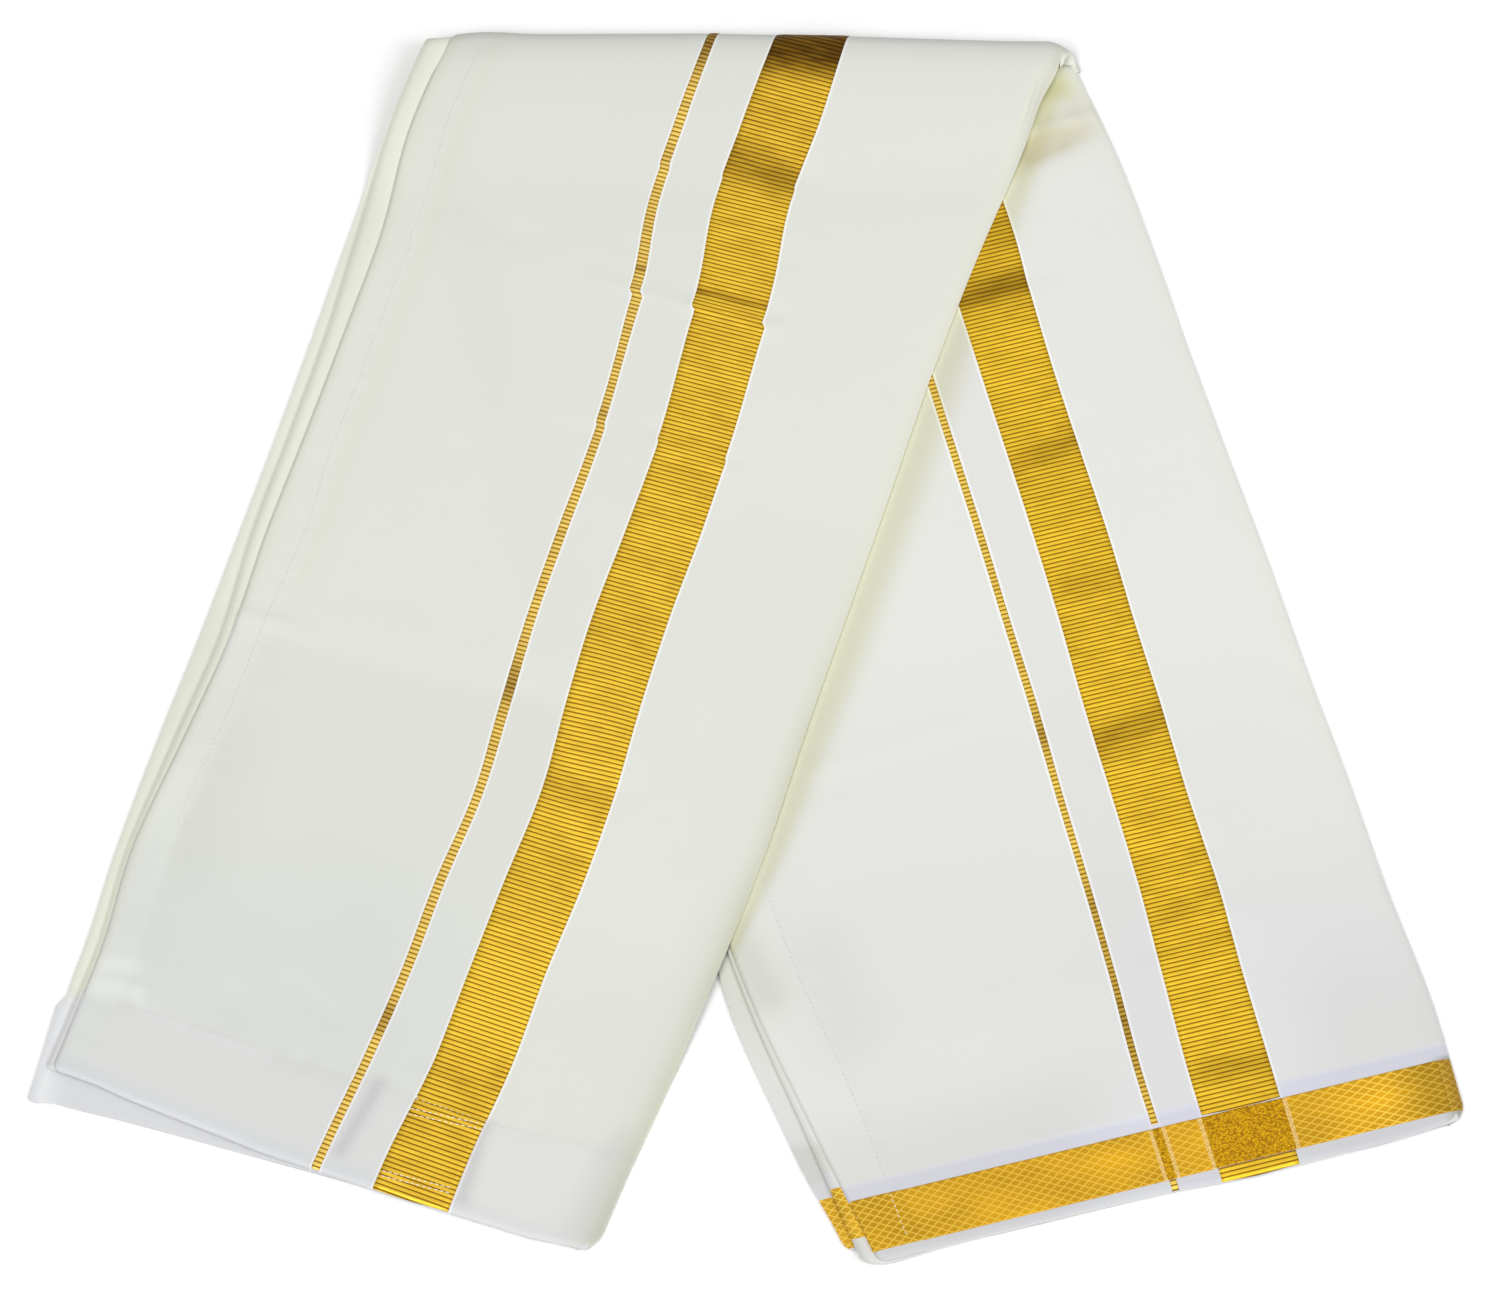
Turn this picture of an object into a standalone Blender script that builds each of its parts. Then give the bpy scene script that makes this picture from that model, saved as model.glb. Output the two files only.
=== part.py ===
"""Dhoti: one strip of folded cotton cloth, laid down and folded over into an upside-down V.

The cloth is folded lengthwise in four, so both side hems and one middle fold lie at the left
edge and two rolled folds at the right. The strip is then folded over once: the front leg runs
down and to the left from the top fold, over the back leg, which runs down and to the right.
Sizes are in millimetres. X is to the right, Y is away from the viewer, Z is up.
"""
import math

import bmesh
import bpy
import numpy as np

MM = 0.001
COLLECTION = "dhoti_cloth"

# Thickness of one shown layer, of the three hidden layers together, and the gap between pieces
WALL = 1.0
STACK = 3.2
GAP = 0.3

# A hem is turned under its panel: the panel rises a little over it, and the layers below sink
HEM_RISE = 0.6
HEM_STEP = 4.0
FRONT_SIDE_HEM = 20.0
FRONT_END_HEM = 47.0
BACK_SIDE_HEM = 27.0

# The rolled right edge: how far the curve reaches in from above and from below, where it ends,
# and how far in from the edge the hidden layers close
ROLL_ABOVE = 12.0
ROLL_BELOW = 4.0
ROLL_END = math.radians(150.0)
ROLL_POINTS = 6
CLOSE_IN = 3.8

# The top fold: a soft loop with a hollow inside, which flattens out towards the viewer
FOLD_Y = 345.0
FOLD_HOLLOW = 5.5
FOLD_LIE = 95.0
FOLD_TAIL = 4.0
FOLD_SLIDE = 10.0
FOLD_POINTS = 8
SWELL_X = -146.0
SWELL_WIDTH = 18.0
SWELL_HEIGHT = 2.0

# How high the front leg lies where it crosses the back leg, and where it comes down beside it
OVER = 5.4
OVER_FROM = 15.0
OVER_TO = 65.0

# Front leg, a row for each section from the top fold down to the end hem
FRONT_ROWS = [
    # left_x, left_y, right_x, right_y, lower layers out, second layer out
    (-164.0, 345.0, 164.0, 345.0, 13.0, 12.0),
    (-184.0, 290.0, 145.0, 280.0, 13.0, 11.0),
    (-197.0, 232.0, 119.0, 211.0, 17.0, 12.0),
    (-214.0, 174.0, 95.0, 142.0, 16.0, 9.0),
    (-232.0, 114.0, 73.0, 72.0, 15.0, 8.0),
    (-251.0, 53.0, 51.0, 3.0, 14.0, 7.0),
    (-267.0, -7.0, 29.0, -66.0, 16.0, 5.0),
    (-289.0, -67.0, 8.0, -136.0, 13.0, 4.0),
    (-312.0, -128.0, -17.0, -205.0, 8.0, 2.0),
    (-326.0, -188.0, -45.0, -275.0, 9.0, 2.0),
    (-347.0, -249.0, -75.0, -344.0, 8.5, 3.0),
]

# Back leg, a row for each section from the top fold down to the woven end band
BACK_ROWS = [
    # left_x, left_y, right_x, right_y, lower layers out, second layer out
    (-160.0, 340.7, 176.0, 340.7, 2.0, 1.0),
    (-140.0, 271.0, 199.0, 279.0, 2.0, 1.0),
    (-121.0, 201.0, 217.0, 218.0, 2.0, 1.0),
    (-101.0, 132.0, 234.0, 156.0, 2.0, 1.0),
    (-82.0, 62.0, 252.0, 94.0, 2.0, 1.0),
    (-62.0, -8.0, 270.0, 33.0, 2.0, 1.0),
    (-43.0, -77.0, 287.0, -29.0, 2.0, 1.0),
    (-23.0, -147.0, 305.0, -90.0, 3.0, 1.0),
    (1.0, -217.0, 322.0, -152.0, 12.0, 2.0),
    (31.0, -286.0, 341.0, -213.0, 14.0, 4.0),
    (63.0, -356.5, 355.5, -275.0, 16.0, 8.0),
]

# The lowest front layer slips out past the end hem at the left corner
SLIP_END = 11.0
SLIP_SHARE = 0.5

# The largest folds pressed into the shown layers
FRONT_CREASES = [
    # from_x, from_y, to_x, to_y, half width, height
    (-262.0, 8.0, -75.0, -42.0, 26.0, 1.1),
    (-80.0, 202.0, 10.0, 178.0, 14.0, 0.8),
    (-228.0, -150.0, -133.0, -238.0, 22.0, -1.0),
    (-150.0, 285.0, 60.0, 262.0, 24.0, 0.7),
]
BACK_CREASES = [
    # from_x, from_y, to_x, to_y, half width, height
    (120.0, 292.0, 188.0, 312.0, 14.0, 1.2),
    (40.0, -85.0, 130.0, -50.0, 18.0, 0.8),
    (215.0, -150.0, 330.0, -120.0, 22.0, 0.7),
]

FRONT_SECTIONS = 25
BACK_SECTIONS = 21
COLUMNS = 11


def clear_scene():
    """Take away whatever the new file opened with."""
    for thing in list(bpy.data.objects):
        bpy.data.objects.remove(thing, do_unlink=True)


def smooth(share):
    """Rise from 0 to 1, level at both ends."""
    share = np.clip(share, 0.0, 1.0)
    return share * share * (3.0 - 2.0 * share)


def resample(rows, count):
    """Put a cubic between each pair of rows, its slopes taken from the rows on either side."""
    table = np.array(rows)
    slopes = np.gradient(table, axis=0)
    place = np.linspace(0.0, len(table) - 1.0, count)
    first = np.minimum(place.astype(int), len(table) - 2)
    part = (place - first)[:, None]
    start = table[first] * (1 + 2 * part) * (1 - part) ** 2
    leave = slopes[first] * part * (1 - part) ** 2
    arrive = slopes[first + 1] * part ** 2 * (part - 1)
    end = table[first + 1] * part ** 2 * (3 - 2 * part)
    return start + leave + arrive + end


def crease_height(x, y, creases):
    """Add up soft ridges and troughs, each fading towards its two ends."""
    total = np.zeros_like(x)
    for from_x, from_y, to_x, to_y, half_width, height in creases:
        length = math.hypot(to_x - from_x, to_y - from_y)
        along_x, along_y = (to_x - from_x) / length, (to_y - from_y) / length
        along = (x - from_x) * along_x + (y - from_y) * along_y
        aside = (y - from_y) * along_x - (x - from_x) * along_y
        past_end = np.maximum(np.maximum(-along, along - length), 0.0)
        distance = np.hypot(aside, past_end) / half_width
        total += height * np.exp(-distance ** 2)
    return total


def back_left_edge(y):
    """X of the back leg's left edge at each Y."""
    table = np.array(BACK_ROWS)[::-1]
    return np.interp(y, table[:, 1], table[:, 0])


def front_underside(x, y):
    """Height of the front leg's underside: flat on the ground, or over the back leg and its fold."""
    beside = back_left_edge(y) - x
    lifted = OVER * (1.0 - smooth((beside - OVER_FROM) / (OVER_TO - OVER_FROM)))
    crown = WALL + GAP + STACK + 2 * FOLD_HOLLOW
    near_fold = 1.0 - smooth((FOLD_Y - y) / FOLD_LIE)
    return lifted + (crown - lifted) * near_fold


class Leg:
    """A leg of the strip: its sections, and what turns a place on one of them into a point."""

    def __init__(self, rows, count, creases, under, side_hem, end_hem, fold):
        self.table = resample(rows, count)
        self.creases = creases
        self.under = under
        self.side_hem = side_hem
        self.end_hem = end_hem
        self.fold = fold

    def sections(self):
        """Each section's number and its turn round the top fold, from the leg's end to the fold."""
        steps = [(number, 0.0) for number in range(len(self.table) - 1, -1, -1)]
        if self.fold:
            steps += [(0, math.pi * turn / FOLD_POINTS) for turn in range(1, FOLD_POINTS + 1)]
            steps.append((0, -1.0))
        return steps

    def width(self, number):
        left_x, left_y, right_x, right_y = self.table[number, :4]
        return math.hypot(right_x - left_x, right_y - left_y)

    def from_end(self, number):
        """Distance from a section down to the leg's end, along the left edge."""
        edge = self.table[number:, :2]
        return float(np.sum(np.hypot(*np.diff(edge, axis=0).T)))

    def hem_share(self, number, across):
        """1 over a turned hem and 0 elsewhere, with a short slope between."""
        from_fold = FOLD_Y - self.table[number, 1]
        side = 1.0 - smooth((across - self.side_hem) / HEM_STEP)
        side = side * smooth((from_fold - HEM_STEP) / self.side_hem)
        end = 1.0 - smooth((self.from_end(number) - self.end_hem) / HEM_STEP)
        return np.maximum(side, end) if self.end_hem else side

    def place(self, number, turn, across, height, slip=0.0):
        """Points of a section, from distance across and height above the leg's underside.

        A turn of 0 is flat on the leg, up to pi goes round the top fold, and -1 is the short tail
        that lies under it.
        """
        left_x, left_y, right_x, right_y = self.table[number, :4]
        width = self.width(number)
        inside, outside = np.maximum(across, 0.0), np.minimum(across, 0.0)
        x = left_x + (right_x - left_x) * inside / width + outside
        y = left_y + (right_y - left_y) * inside / width - slip
        pressed = np.clip(height / STACK, 0.0, 1.0)
        if turn == 0.0:
            z = self.under(x, y) + height + pressed * crease_height(x, y, self.creases)
            return np.stack([x, y, z], axis=-1)
        swell = SWELL_HEIGHT * np.exp(-((x - SWELL_X) / SWELL_WIDTH) ** 2) * max(math.sin(turn), 0.0)
        radius = FOLD_HOLLOW + height + swell
        centre = WALL + GAP + STACK + FOLD_HOLLOW
        if turn < 0.0:
            y = np.full_like(x, FOLD_Y - FOLD_TAIL)
            return np.stack([x + FOLD_SLIDE, y, centre - radius], axis=-1)
        x = x + FOLD_SLIDE * turn / math.pi
        y = FOLD_Y + radius * math.sin(turn)
        return np.stack([x, y, centre + radius * math.cos(turn)], axis=-1)


def no_lift(x, y):
    """The back leg lies flat on the ground."""
    return np.zeros_like(x)


def flat_columns(leg, number):
    """Distances across the flat part of a section, closer together where the side hem ends."""
    width = leg.width(number)
    hem = leg.side_hem
    rest = np.linspace(hem + 2 * HEM_STEP, width - ROLL_ABOVE, COLUMNS - 3)
    return np.concatenate([[0.0, 0.5 * hem, hem], rest])


def shown_profile(leg, number):
    """A shown layer's outer side: flat, then rolled over the right edge and a little under it."""
    across = flat_columns(leg, number)
    rise = HEM_RISE * leg.hem_share(number, across)
    height = STACK + GAP + WALL + rise
    angles = np.linspace(0.0, ROLL_END, ROLL_POINTS)[1:]
    half = 0.5 * height[-1]
    reach = np.where(angles <= 0.5 * math.pi, ROLL_ABOVE, ROLL_BELOW)
    rolled = leg.width(number) - reach * (1.0 - np.sin(angles))
    return np.append(across, rolled), np.append(height, half * (1.0 + np.cos(angles)))


def moved_in(across, height, depth):
    """A profile moved towards its inner side by a depth given at each point."""
    slope_across, slope_height = np.gradient(across), np.gradient(height)
    length = np.hypot(slope_across, slope_height)
    return across + depth * slope_height / length, height - depth * slope_across / length


def shown_layer(leg):
    """Grid of a shown layer's outer points, a row for each section."""
    grid = []
    for number, turn in leg.sections():
        across, height = shown_profile(leg, number)
        grid.append(leg.place(number, turn, across, height))
    return np.array(grid)


def hem_grid(leg, numbers, columns, slip):
    """Grid of a strip turned under its panel, made from the panel's points, moved in."""
    grid = []
    for number in numbers:
        across = columns(number)
        height = STACK + HEM_RISE * leg.hem_share(number, across)
        grid.append(leg.place(number, 0.0, across, height, slip if number == numbers[0] else 0.0))
    return np.array(grid)


def end_hem_numbers(leg):
    """Sections that the end hem covers, from the leg's end up."""
    numbers = range(len(leg.table) - 1, -1, -1)
    return [number for number in numbers if leg.from_end(number) < leg.end_hem]


def end_hem(leg):
    """The strip turned under the lower end, as far as the rolled edge."""
    return hem_grid(leg, end_hem_numbers(leg), lambda number: flat_columns(leg, number)[:-1], 0.0)


def side_hem(leg):
    """The strip turned under the left edge, from the end hem or the leg's end up to the fold."""
    covered = end_hem_numbers(leg)
    lowest = covered[-1] if covered else len(leg.table) - 1
    clear_of_fold = leg.side_hem + 2 * HEM_STEP
    numbers = [number for number in range(lowest, -1, -1)
               if FOLD_Y - leg.table[number, 1] > clear_of_fold]
    slip = -2 * GAP if covered else 0.0
    return hem_grid(leg, numbers, lambda number: np.linspace(0.0, leg.side_hem, 3), slip)


def hidden_ring(leg, number, turn, cap=1.0, slip=0.0, slip_left=0.0):
    """Closed outline of the hidden layers at a section: stepped at the left, round at the right."""
    across, height = shown_profile(leg, number)
    hem = leg.hem_share(number, across)
    depth = WALL + GAP + (WALL + GAP) * hem * (across < leg.width(number) - ROLL_ABOVE)
    top_across, top_height = moved_in(across, height, depth)
    top_across[0] = 2 * WALL
    width = leg.width(number)
    low_out, second_out = leg.table[number, 4:6]
    third = STACK / 3
    steps_across = np.array([-low_out, -low_out, -second_out, -second_out, 2 * WALL])
    steps_height = np.array([0.0, third - GAP, third, 2 * third - 2 * GAP, 2 * third - GAP])
    closing_across = np.array([width - CLOSE_IN + GAP, width - CLOSE_IN])
    closing_height = np.array([top_height[-1] - GAP, 0.0])
    under_across = flat_columns(leg, number)[::-1]
    all_across = np.concatenate([steps_across, top_across, closing_across, under_across])
    all_height = np.concatenate([steps_height, top_height, closing_height, 0.0 * under_across])
    all_height = np.minimum(all_height, cap * STACK)
    share = np.clip(all_across / (SLIP_SHARE * width), 0.0, 1.0)
    return leg.place(number, turn, all_across, all_height, slip + slip_left * (1.0 - share))


def hidden_layers(leg, step_at_end):
    """Rings of the hidden layers, from the end of the leg up to the fold."""
    rings = []
    last = len(leg.table) - 1
    if step_at_end:
        rings.append(hidden_ring(leg, last, 0.0, 1 / 3, 2 * GAP, SLIP_END))
        rings.append(hidden_ring(leg, last, 0.0, 1 / 3, GAP))
    for number, turn in leg.sections():
        rings.append(hidden_ring(leg, number, turn))
    return np.array(rings)


def new_material(name, colour, roughness):
    """Plain cloth colour for one node."""
    material = bpy.data.materials.new(name)
    material.use_nodes = True
    shader = material.node_tree.nodes["Principled BSDF"]
    shader.inputs["Base Color"].default_value = (*colour, 1.0)
    shader.inputs["Roughness"].default_value = roughness
    shader.inputs["Metallic"].default_value = 0.0
    material.diffuse_color = (*colour, 1.0)
    return material


def add_object(name, points, faces, colour, roughness):
    """Make the mesh, turn its faces outwards and put it in the cloth's collection."""
    mesh = bpy.data.meshes.new(name)
    mesh.from_pydata([tuple(point) for point in points * MM], [], faces)
    shape = bmesh.new()
    shape.from_mesh(mesh)
    bmesh.ops.recalc_face_normals(shape, faces=shape.faces)
    shape.to_mesh(mesh)
    shape.free()
    mesh.shade_smooth()
    thing = bpy.data.objects.new(name, mesh)
    bpy.data.collections[COLLECTION].objects.link(thing)
    thing.data.materials.append(new_material(name + "_cloth", colour, roughness))
    return thing


def grid_faces(rows, columns, closed):
    """Four-sided faces between neighbouring rows, going round if the rows are rings."""
    across = columns if closed else columns - 1
    faces = []
    for row in range(rows - 1):
        for column in range(across):
            beside = (column + 1) % columns
            here, above = row * columns, (row + 1) * columns
            faces.append((here + column, here + beside, above + beside, above + column))
    return faces


def face_up(thing):
    """Turn an open sheet over if most of it faces the ground."""
    total = sum(face.normal.z * face.area for face in thing.data.polygons)
    if total < 0.0:
        thing.data.flip_normals()


def cloth_sheet(name, grid, colour, roughness):
    """One layer of cloth: an open surface given its thickness inwards."""
    rows, columns = grid.shape[:2]
    faces = grid_faces(rows, columns, False)
    thing = add_object(name, grid.reshape(-1, 3), faces, colour, roughness)
    face_up(thing)
    wall = thing.modifiers.new("wall", "SOLIDIFY")
    wall.thickness = WALL * MM
    wall.offset = -1.0
    wall.use_even_offset = True
    return thing


def cloth_body(name, rings, colour, roughness):
    """Rounded solid lofted through closed rings, with a flat face at each end."""
    rows, columns = rings.shape[:2]
    faces = grid_faces(rows, columns, True)
    faces.append(tuple(range(columns)))
    faces.append(tuple(range((rows - 1) * columns, rows * columns)))
    return add_object(name, rings.reshape(-1, 3), faces, colour, roughness)


def build():
    clear_scene()
    group = bpy.data.collections.new(COLLECTION)
    bpy.context.scene.collection.children.link(group)
    cream = (0.79, 0.80, 0.76)
    white = (0.83, 0.84, 0.86)
    front = Leg(FRONT_ROWS, FRONT_SECTIONS, FRONT_CREASES, front_underside,
                FRONT_SIDE_HEM, FRONT_END_HEM, True)
    back = Leg(BACK_ROWS, BACK_SECTIONS, BACK_CREASES, no_lift, BACK_SIDE_HEM, 0.0, False)
    cloth_sheet("front_leg_panel", shown_layer(front), cream, 0.85)
    cloth_sheet("front_side_hem", side_hem(front), white, 0.85)
    cloth_sheet("front_end_hem", end_hem(front), white, 0.85)
    cloth_body("front_hidden_layers", hidden_layers(front, True), cream, 0.88)
    cloth_sheet("back_leg_panel", shown_layer(back), cream, 0.85)
    cloth_sheet("back_side_hem", side_hem(back), white, 0.85)
    cloth_body("back_hidden_layers", hidden_layers(back, False), cream, 0.88)


build()
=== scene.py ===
# %% [markdown]
# A dhoti is one long strip of white cotton with gold zari borders woven along both sides. Here it
# is folded lengthwise in four, and the strip is folded over once more, so that it lies on a table
# as an upside-down V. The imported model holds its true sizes. This script gives each layer its
# cloth: thin sheets with creases, raised gold threads, hems and stitches.

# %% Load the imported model
import math

import bpy
import numpy as np
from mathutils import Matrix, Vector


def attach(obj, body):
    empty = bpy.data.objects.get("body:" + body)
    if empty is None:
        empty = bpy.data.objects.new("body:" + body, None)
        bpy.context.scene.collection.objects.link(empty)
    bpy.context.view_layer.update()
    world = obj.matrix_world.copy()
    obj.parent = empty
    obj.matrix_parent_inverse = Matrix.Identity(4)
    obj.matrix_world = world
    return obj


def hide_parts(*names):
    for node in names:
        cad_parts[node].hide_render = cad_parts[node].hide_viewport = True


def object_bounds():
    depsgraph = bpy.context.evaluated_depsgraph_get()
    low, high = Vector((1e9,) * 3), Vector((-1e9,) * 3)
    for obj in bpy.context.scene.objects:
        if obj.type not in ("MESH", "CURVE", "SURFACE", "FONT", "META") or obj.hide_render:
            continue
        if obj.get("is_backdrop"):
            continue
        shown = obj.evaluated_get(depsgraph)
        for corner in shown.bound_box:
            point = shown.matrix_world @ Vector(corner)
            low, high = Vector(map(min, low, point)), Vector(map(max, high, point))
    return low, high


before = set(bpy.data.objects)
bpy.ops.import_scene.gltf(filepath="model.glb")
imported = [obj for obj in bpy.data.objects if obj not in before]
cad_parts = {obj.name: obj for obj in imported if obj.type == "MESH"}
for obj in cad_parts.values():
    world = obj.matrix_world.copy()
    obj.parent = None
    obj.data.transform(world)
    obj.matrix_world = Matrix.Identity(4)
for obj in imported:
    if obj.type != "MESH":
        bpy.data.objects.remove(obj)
cad_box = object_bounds()
print("packed nodes:", sorted(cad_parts))
print("packed box:", cad_box)

# %% [markdown]
# The photograph looks down at the cloth from the front, 62 degrees above the table. A long lens
# keeps the legs' edges nearly parallel. The camera is placed first, so that every later piece can
# be judged through it.

# %% Camera
IMAGE_WIDTH = 1500
SENSOR_MM = 36.0
LENS_PIXELS = 6500.0
ELEVATION = math.radians(62.0)
DISTANCE = 3.341
LOOK_AT_Y = -0.016

lens = bpy.data.cameras.new("front_camera")
lens.sensor_width = SENSOR_MM
lens.lens = SENSOR_MM * LENS_PIXELS / IMAGE_WIDTH
camera = bpy.data.objects.new("front_camera", lens)
camera.location = (0.0, LOOK_AT_Y - DISTANCE * math.cos(ELEVATION), DISTANCE * math.sin(ELEVATION))
camera.rotation_euler = (math.pi / 2 - ELEVATION, 0.0, 0.0)
bpy.context.scene.collection.objects.link(camera)
bpy.context.scene.camera = camera
print("lens in mm:", lens.lens)

# %% [markdown]
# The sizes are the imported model's own, in millimetres. X is to the right, Y away from the viewer.
# A row of each table is one section across a leg, from the top fold down to the leg's end.

# %% Sizes of the folded strip
MM = 0.001
WALL = 1.0
STACK = 3.2
GAP = 0.3
HEM_RISE = 0.6
FRONT_SIDE_HEM = 19.0
BACK_SIDE_HEM = 28.0

ROLL_ABOVE = 12.0
ROLL_BELOW = 2.5
ROLL_END = math.radians(125.0)

FOLD_Y = 345.0
FOLD_HOLLOW = 5.5
FOLD_LIE = 95.0
FOLD_SLIDE = 10.0
FOLD_CENTRE = WALL + GAP + STACK + FOLD_HOLLOW
SHOWN = WALL + GAP + STACK
FOLD_RADIUS = FOLD_HOLLOW + SHOWN
SWELL_X, SWELL_WIDTH, SWELL_HEIGHT = -146.0, 18.0, 2.0

OVER, OVER_FROM, OVER_TO = 5.4, 15.0, 65.0

FRONT_ROWS = np.array([
    # left_x, left_y, right_x, right_y, lower layers out, second layer out
    (-164, 345, 164, 345, 13, 12),
    (-184, 290, 145, 280, 13, 11),
    (-197, 232, 119, 211, 17, 12),
    (-214, 174, 95, 142, 16, 9),
    (-232, 114, 73, 72, 15, 8),
    (-251, 53, 51, 3, 14, 7),
    (-267, -7, 29, -66, 16, 5),
    (-289, -67, 8, -136, 13, 4),
    (-312, -128, -17, -205, 8, 2),
    (-326, -188, -45, -275, 9, 2),
    (-347, -249, -75, -344, 8.5, 3),
])
BACK_ROWS = np.array([
    # left_x, left_y, right_x, right_y, lower layers out, second layer out
    (-160, 340.7, 176, 340.7, 2, 1),
    (-140, 271, 199, 279, 2, 1),
    (-121, 201, 217, 218, 2, 1),
    (-101, 132, 234, 156, 2, 1),
    (-82, 62, 252, 94, 2, 1),
    (-62, -8, 270, 33, 2, 1),
    (-43, -77, 287, -29, 2, 1),
    (-23, -147, 305, -90, 3, 1),
    (1, -217, 322, -152, 12, 2),
    (31, -286, 341, -213, 14, 4),
    (63, -356.5, 355.5, -275, 16, 8),
])

# %% [markdown]
# The borders are woven, so they are straight in the cloth and bend only with it. To follow them,
# each leg has a table of where its woven lines run, and every point of the cloth gets two
# numbers from it in millimetres: U, how far across the cloth it is, and V, how far along. They
# become the UV map that all the cloth materials read.

# %% Woven lines of each leg
FRONT_LINES = np.array([
    # y, hem line, narrow border's left and right side, wide border's left and right side
    (376, -133, -15, -10, 22, 60),
    (345, -142.5, -24.4, -19.4, 12, 50.8),
    (300, -159.5, -39.4, -34.1, -3.4, 37.9),
    (250, -172.3, -54, -48.7, -19, 21.3),
    (200, -187.2, -61.8, -56.1, -27, 12.5),
    (150, -201.9, -71.7, -67.2, -37.2, 1.7),
    (100, -217.1, -84.1, -79.3, -49, -10.7),
    (50, -229.7, -99.9, -94.7, -64.5, -24.9),
    (0, -247.8, -115.4, -110.3, -80.9, -41.1),
    (-50, -263.5, -128.2, -122.8, -94.3, -55.2),
    (-100, -282.6, -140.4, -135.7, -106.5, -68),
    (-150, -297.9, -159, -153.9, -124.2, -84),
    (-200, -311, -174.9, -170, -141, -102.1),
    (-250, -329, -193.6, -188.9, -157.8, -118),
    (-300, -346, -213.9, -209.4, -179.3, -138),
    (-350, -363, -232, -227.5, -197, -155),
])
BACK_LINES = np.array([
    # y, hem line, narrow border's left and right side, wide border's left and right side
    (376, -142, 32, 36, 62, 99),
    (250, -107, 65, 69, 94.5, 136),
    (200, -93, 78, 82, 107.5, 147.5),
    (150, -79, 91, 95, 120.6, 159.3),
    (100, -64, 104.2, 108.2, 133.9, 172.5),
    (50, -50, 117.4, 121.4, 147, 185.8),
    (0, -36, 130.1, 133.9, 159.4, 197.7),
    (-50, -22, 142.9, 147, 170.8, 210.3),
    (-100, -7, 155, 158.6, 183.4, 222),
    (-150, 8, 167.5, 171, 195.6, 235.4),
    (-200, 25, 179.3, 182.6, 206.1, 246.4),
    (-250, 45.3, 190, 193.5, 216.6, 258.3),
    (-300, 64.8, 203, 206.5, 229, 270),
    (-350, 84.5, 216, 219.5, 241.5, 282),
    (-400, 104, 229, 232.5, 254, 294),
])
# U of the same lines in the flat cloth, and how steeply the crosswise threads lie at each y
FRONT_MARKS = np.array([19.0, 146.5, 150.6, 180.0, 217.0])
BACK_MARKS = np.array([28.0, 176.5, 180.2, 203.0, 241.5])
FRONT_WEFT = np.array([(-330.0, -0.385), (-200.0, -0.36), (0.0, -0.31), (345.0, -0.278)])
BACK_WEFT = np.array([(-330.0, 0.2655), (-290.0, 0.262), (-200.0, 0.258), (0.0, 0.27), (345.0, 0.284)])
# Sharp folds that shift the woven lines: y at x = 0, slope, shift to each side and its reach
FRONT_TUCKS = [(175.5, -0.30, 1.3, 10.0), (88.0, -0.33, 0.6, 10.0), (263.0, -0.2, 0.5, 14.0)]
ALONG_STRETCH = 1.04
# How far the leg's lower edge hangs past a straight line: plan x and distance
FRONT_DROP = np.array([
    (-356, 4), (-338, 3.5), (-325, 4), (-306, 6.5), (-286, 8), (-258, 10),
    (-242, 11.5), (-220, 11.5), (-188, 12), (-171, 12.2), (-146, 11), (-108, 10.5),
    (-90, 8.5), (-78, 6), (-60, 2),
])
FRONT_LOW_DROP = np.array([
    (-356, 20.5), (-338, 20), (-307, 16.9), (-277, 15.4), (-247, 13.8), (-217, 12.2),
    (-187, 10.4), (-157, 9.6), (-128, 9), (-98, 8.4), (-80, 6), (-60, 2),
])
BACK_DROP = np.array([
    (50, 0), (120, 0), (165, 0.5), (185, 1.6), (212, 2.6), (230, 4.2), (250, 5.6),
    (280, 5), (310, 5.9), (330, 5.1), (345, 4), (356, 2),
])
BACK_LOW_DROP = np.array([
    (40, -8), (64, -7), (84, -3), (110, -0.5), (165, 0.5), (356, 2),
])
DROP_REACH = 60.0
# The gold end band: the plain tail below it, its width, and the cooler strip above it
BAND_TAIL, BAND_WIDTH, BAND_EDGE = 8.6, 28.5, 9.0
BAND_TOP = BAND_TAIL + BAND_WIDTH
RIB_PITCH = 2.5


def smooth(share):
    """Rise from 0 to 1, level at both ends: 3 s^2 - 2 s^3."""
    share = np.clip(share, 0.0, 1.0)
    return share * share * (3.0 - 2.0 * share)


def cubic(table, place):
    """Rows between the table's rows: a cubic through each pair, its slopes from the rows beside."""
    slopes = np.gradient(table, axis=0)
    first = np.clip(np.floor(place).astype(int), 0, len(table) - 2)
    part = (place - first)[..., None]
    start = table[first] * (1 + 2 * part) * (1 - part) ** 2
    leave = slopes[first] * part * (1 - part) ** 2
    arrive = slopes[first + 1] * part ** 2 * (part - 1)
    end = table[first + 1] * part ** 2 * (3 - 2 * part)
    return start + leave + arrive + end


def between(place, table):
    """Straight between the rows of a table with two columns, place and value."""
    return np.interp(place, table[:, 0], table[:, 1])


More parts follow.
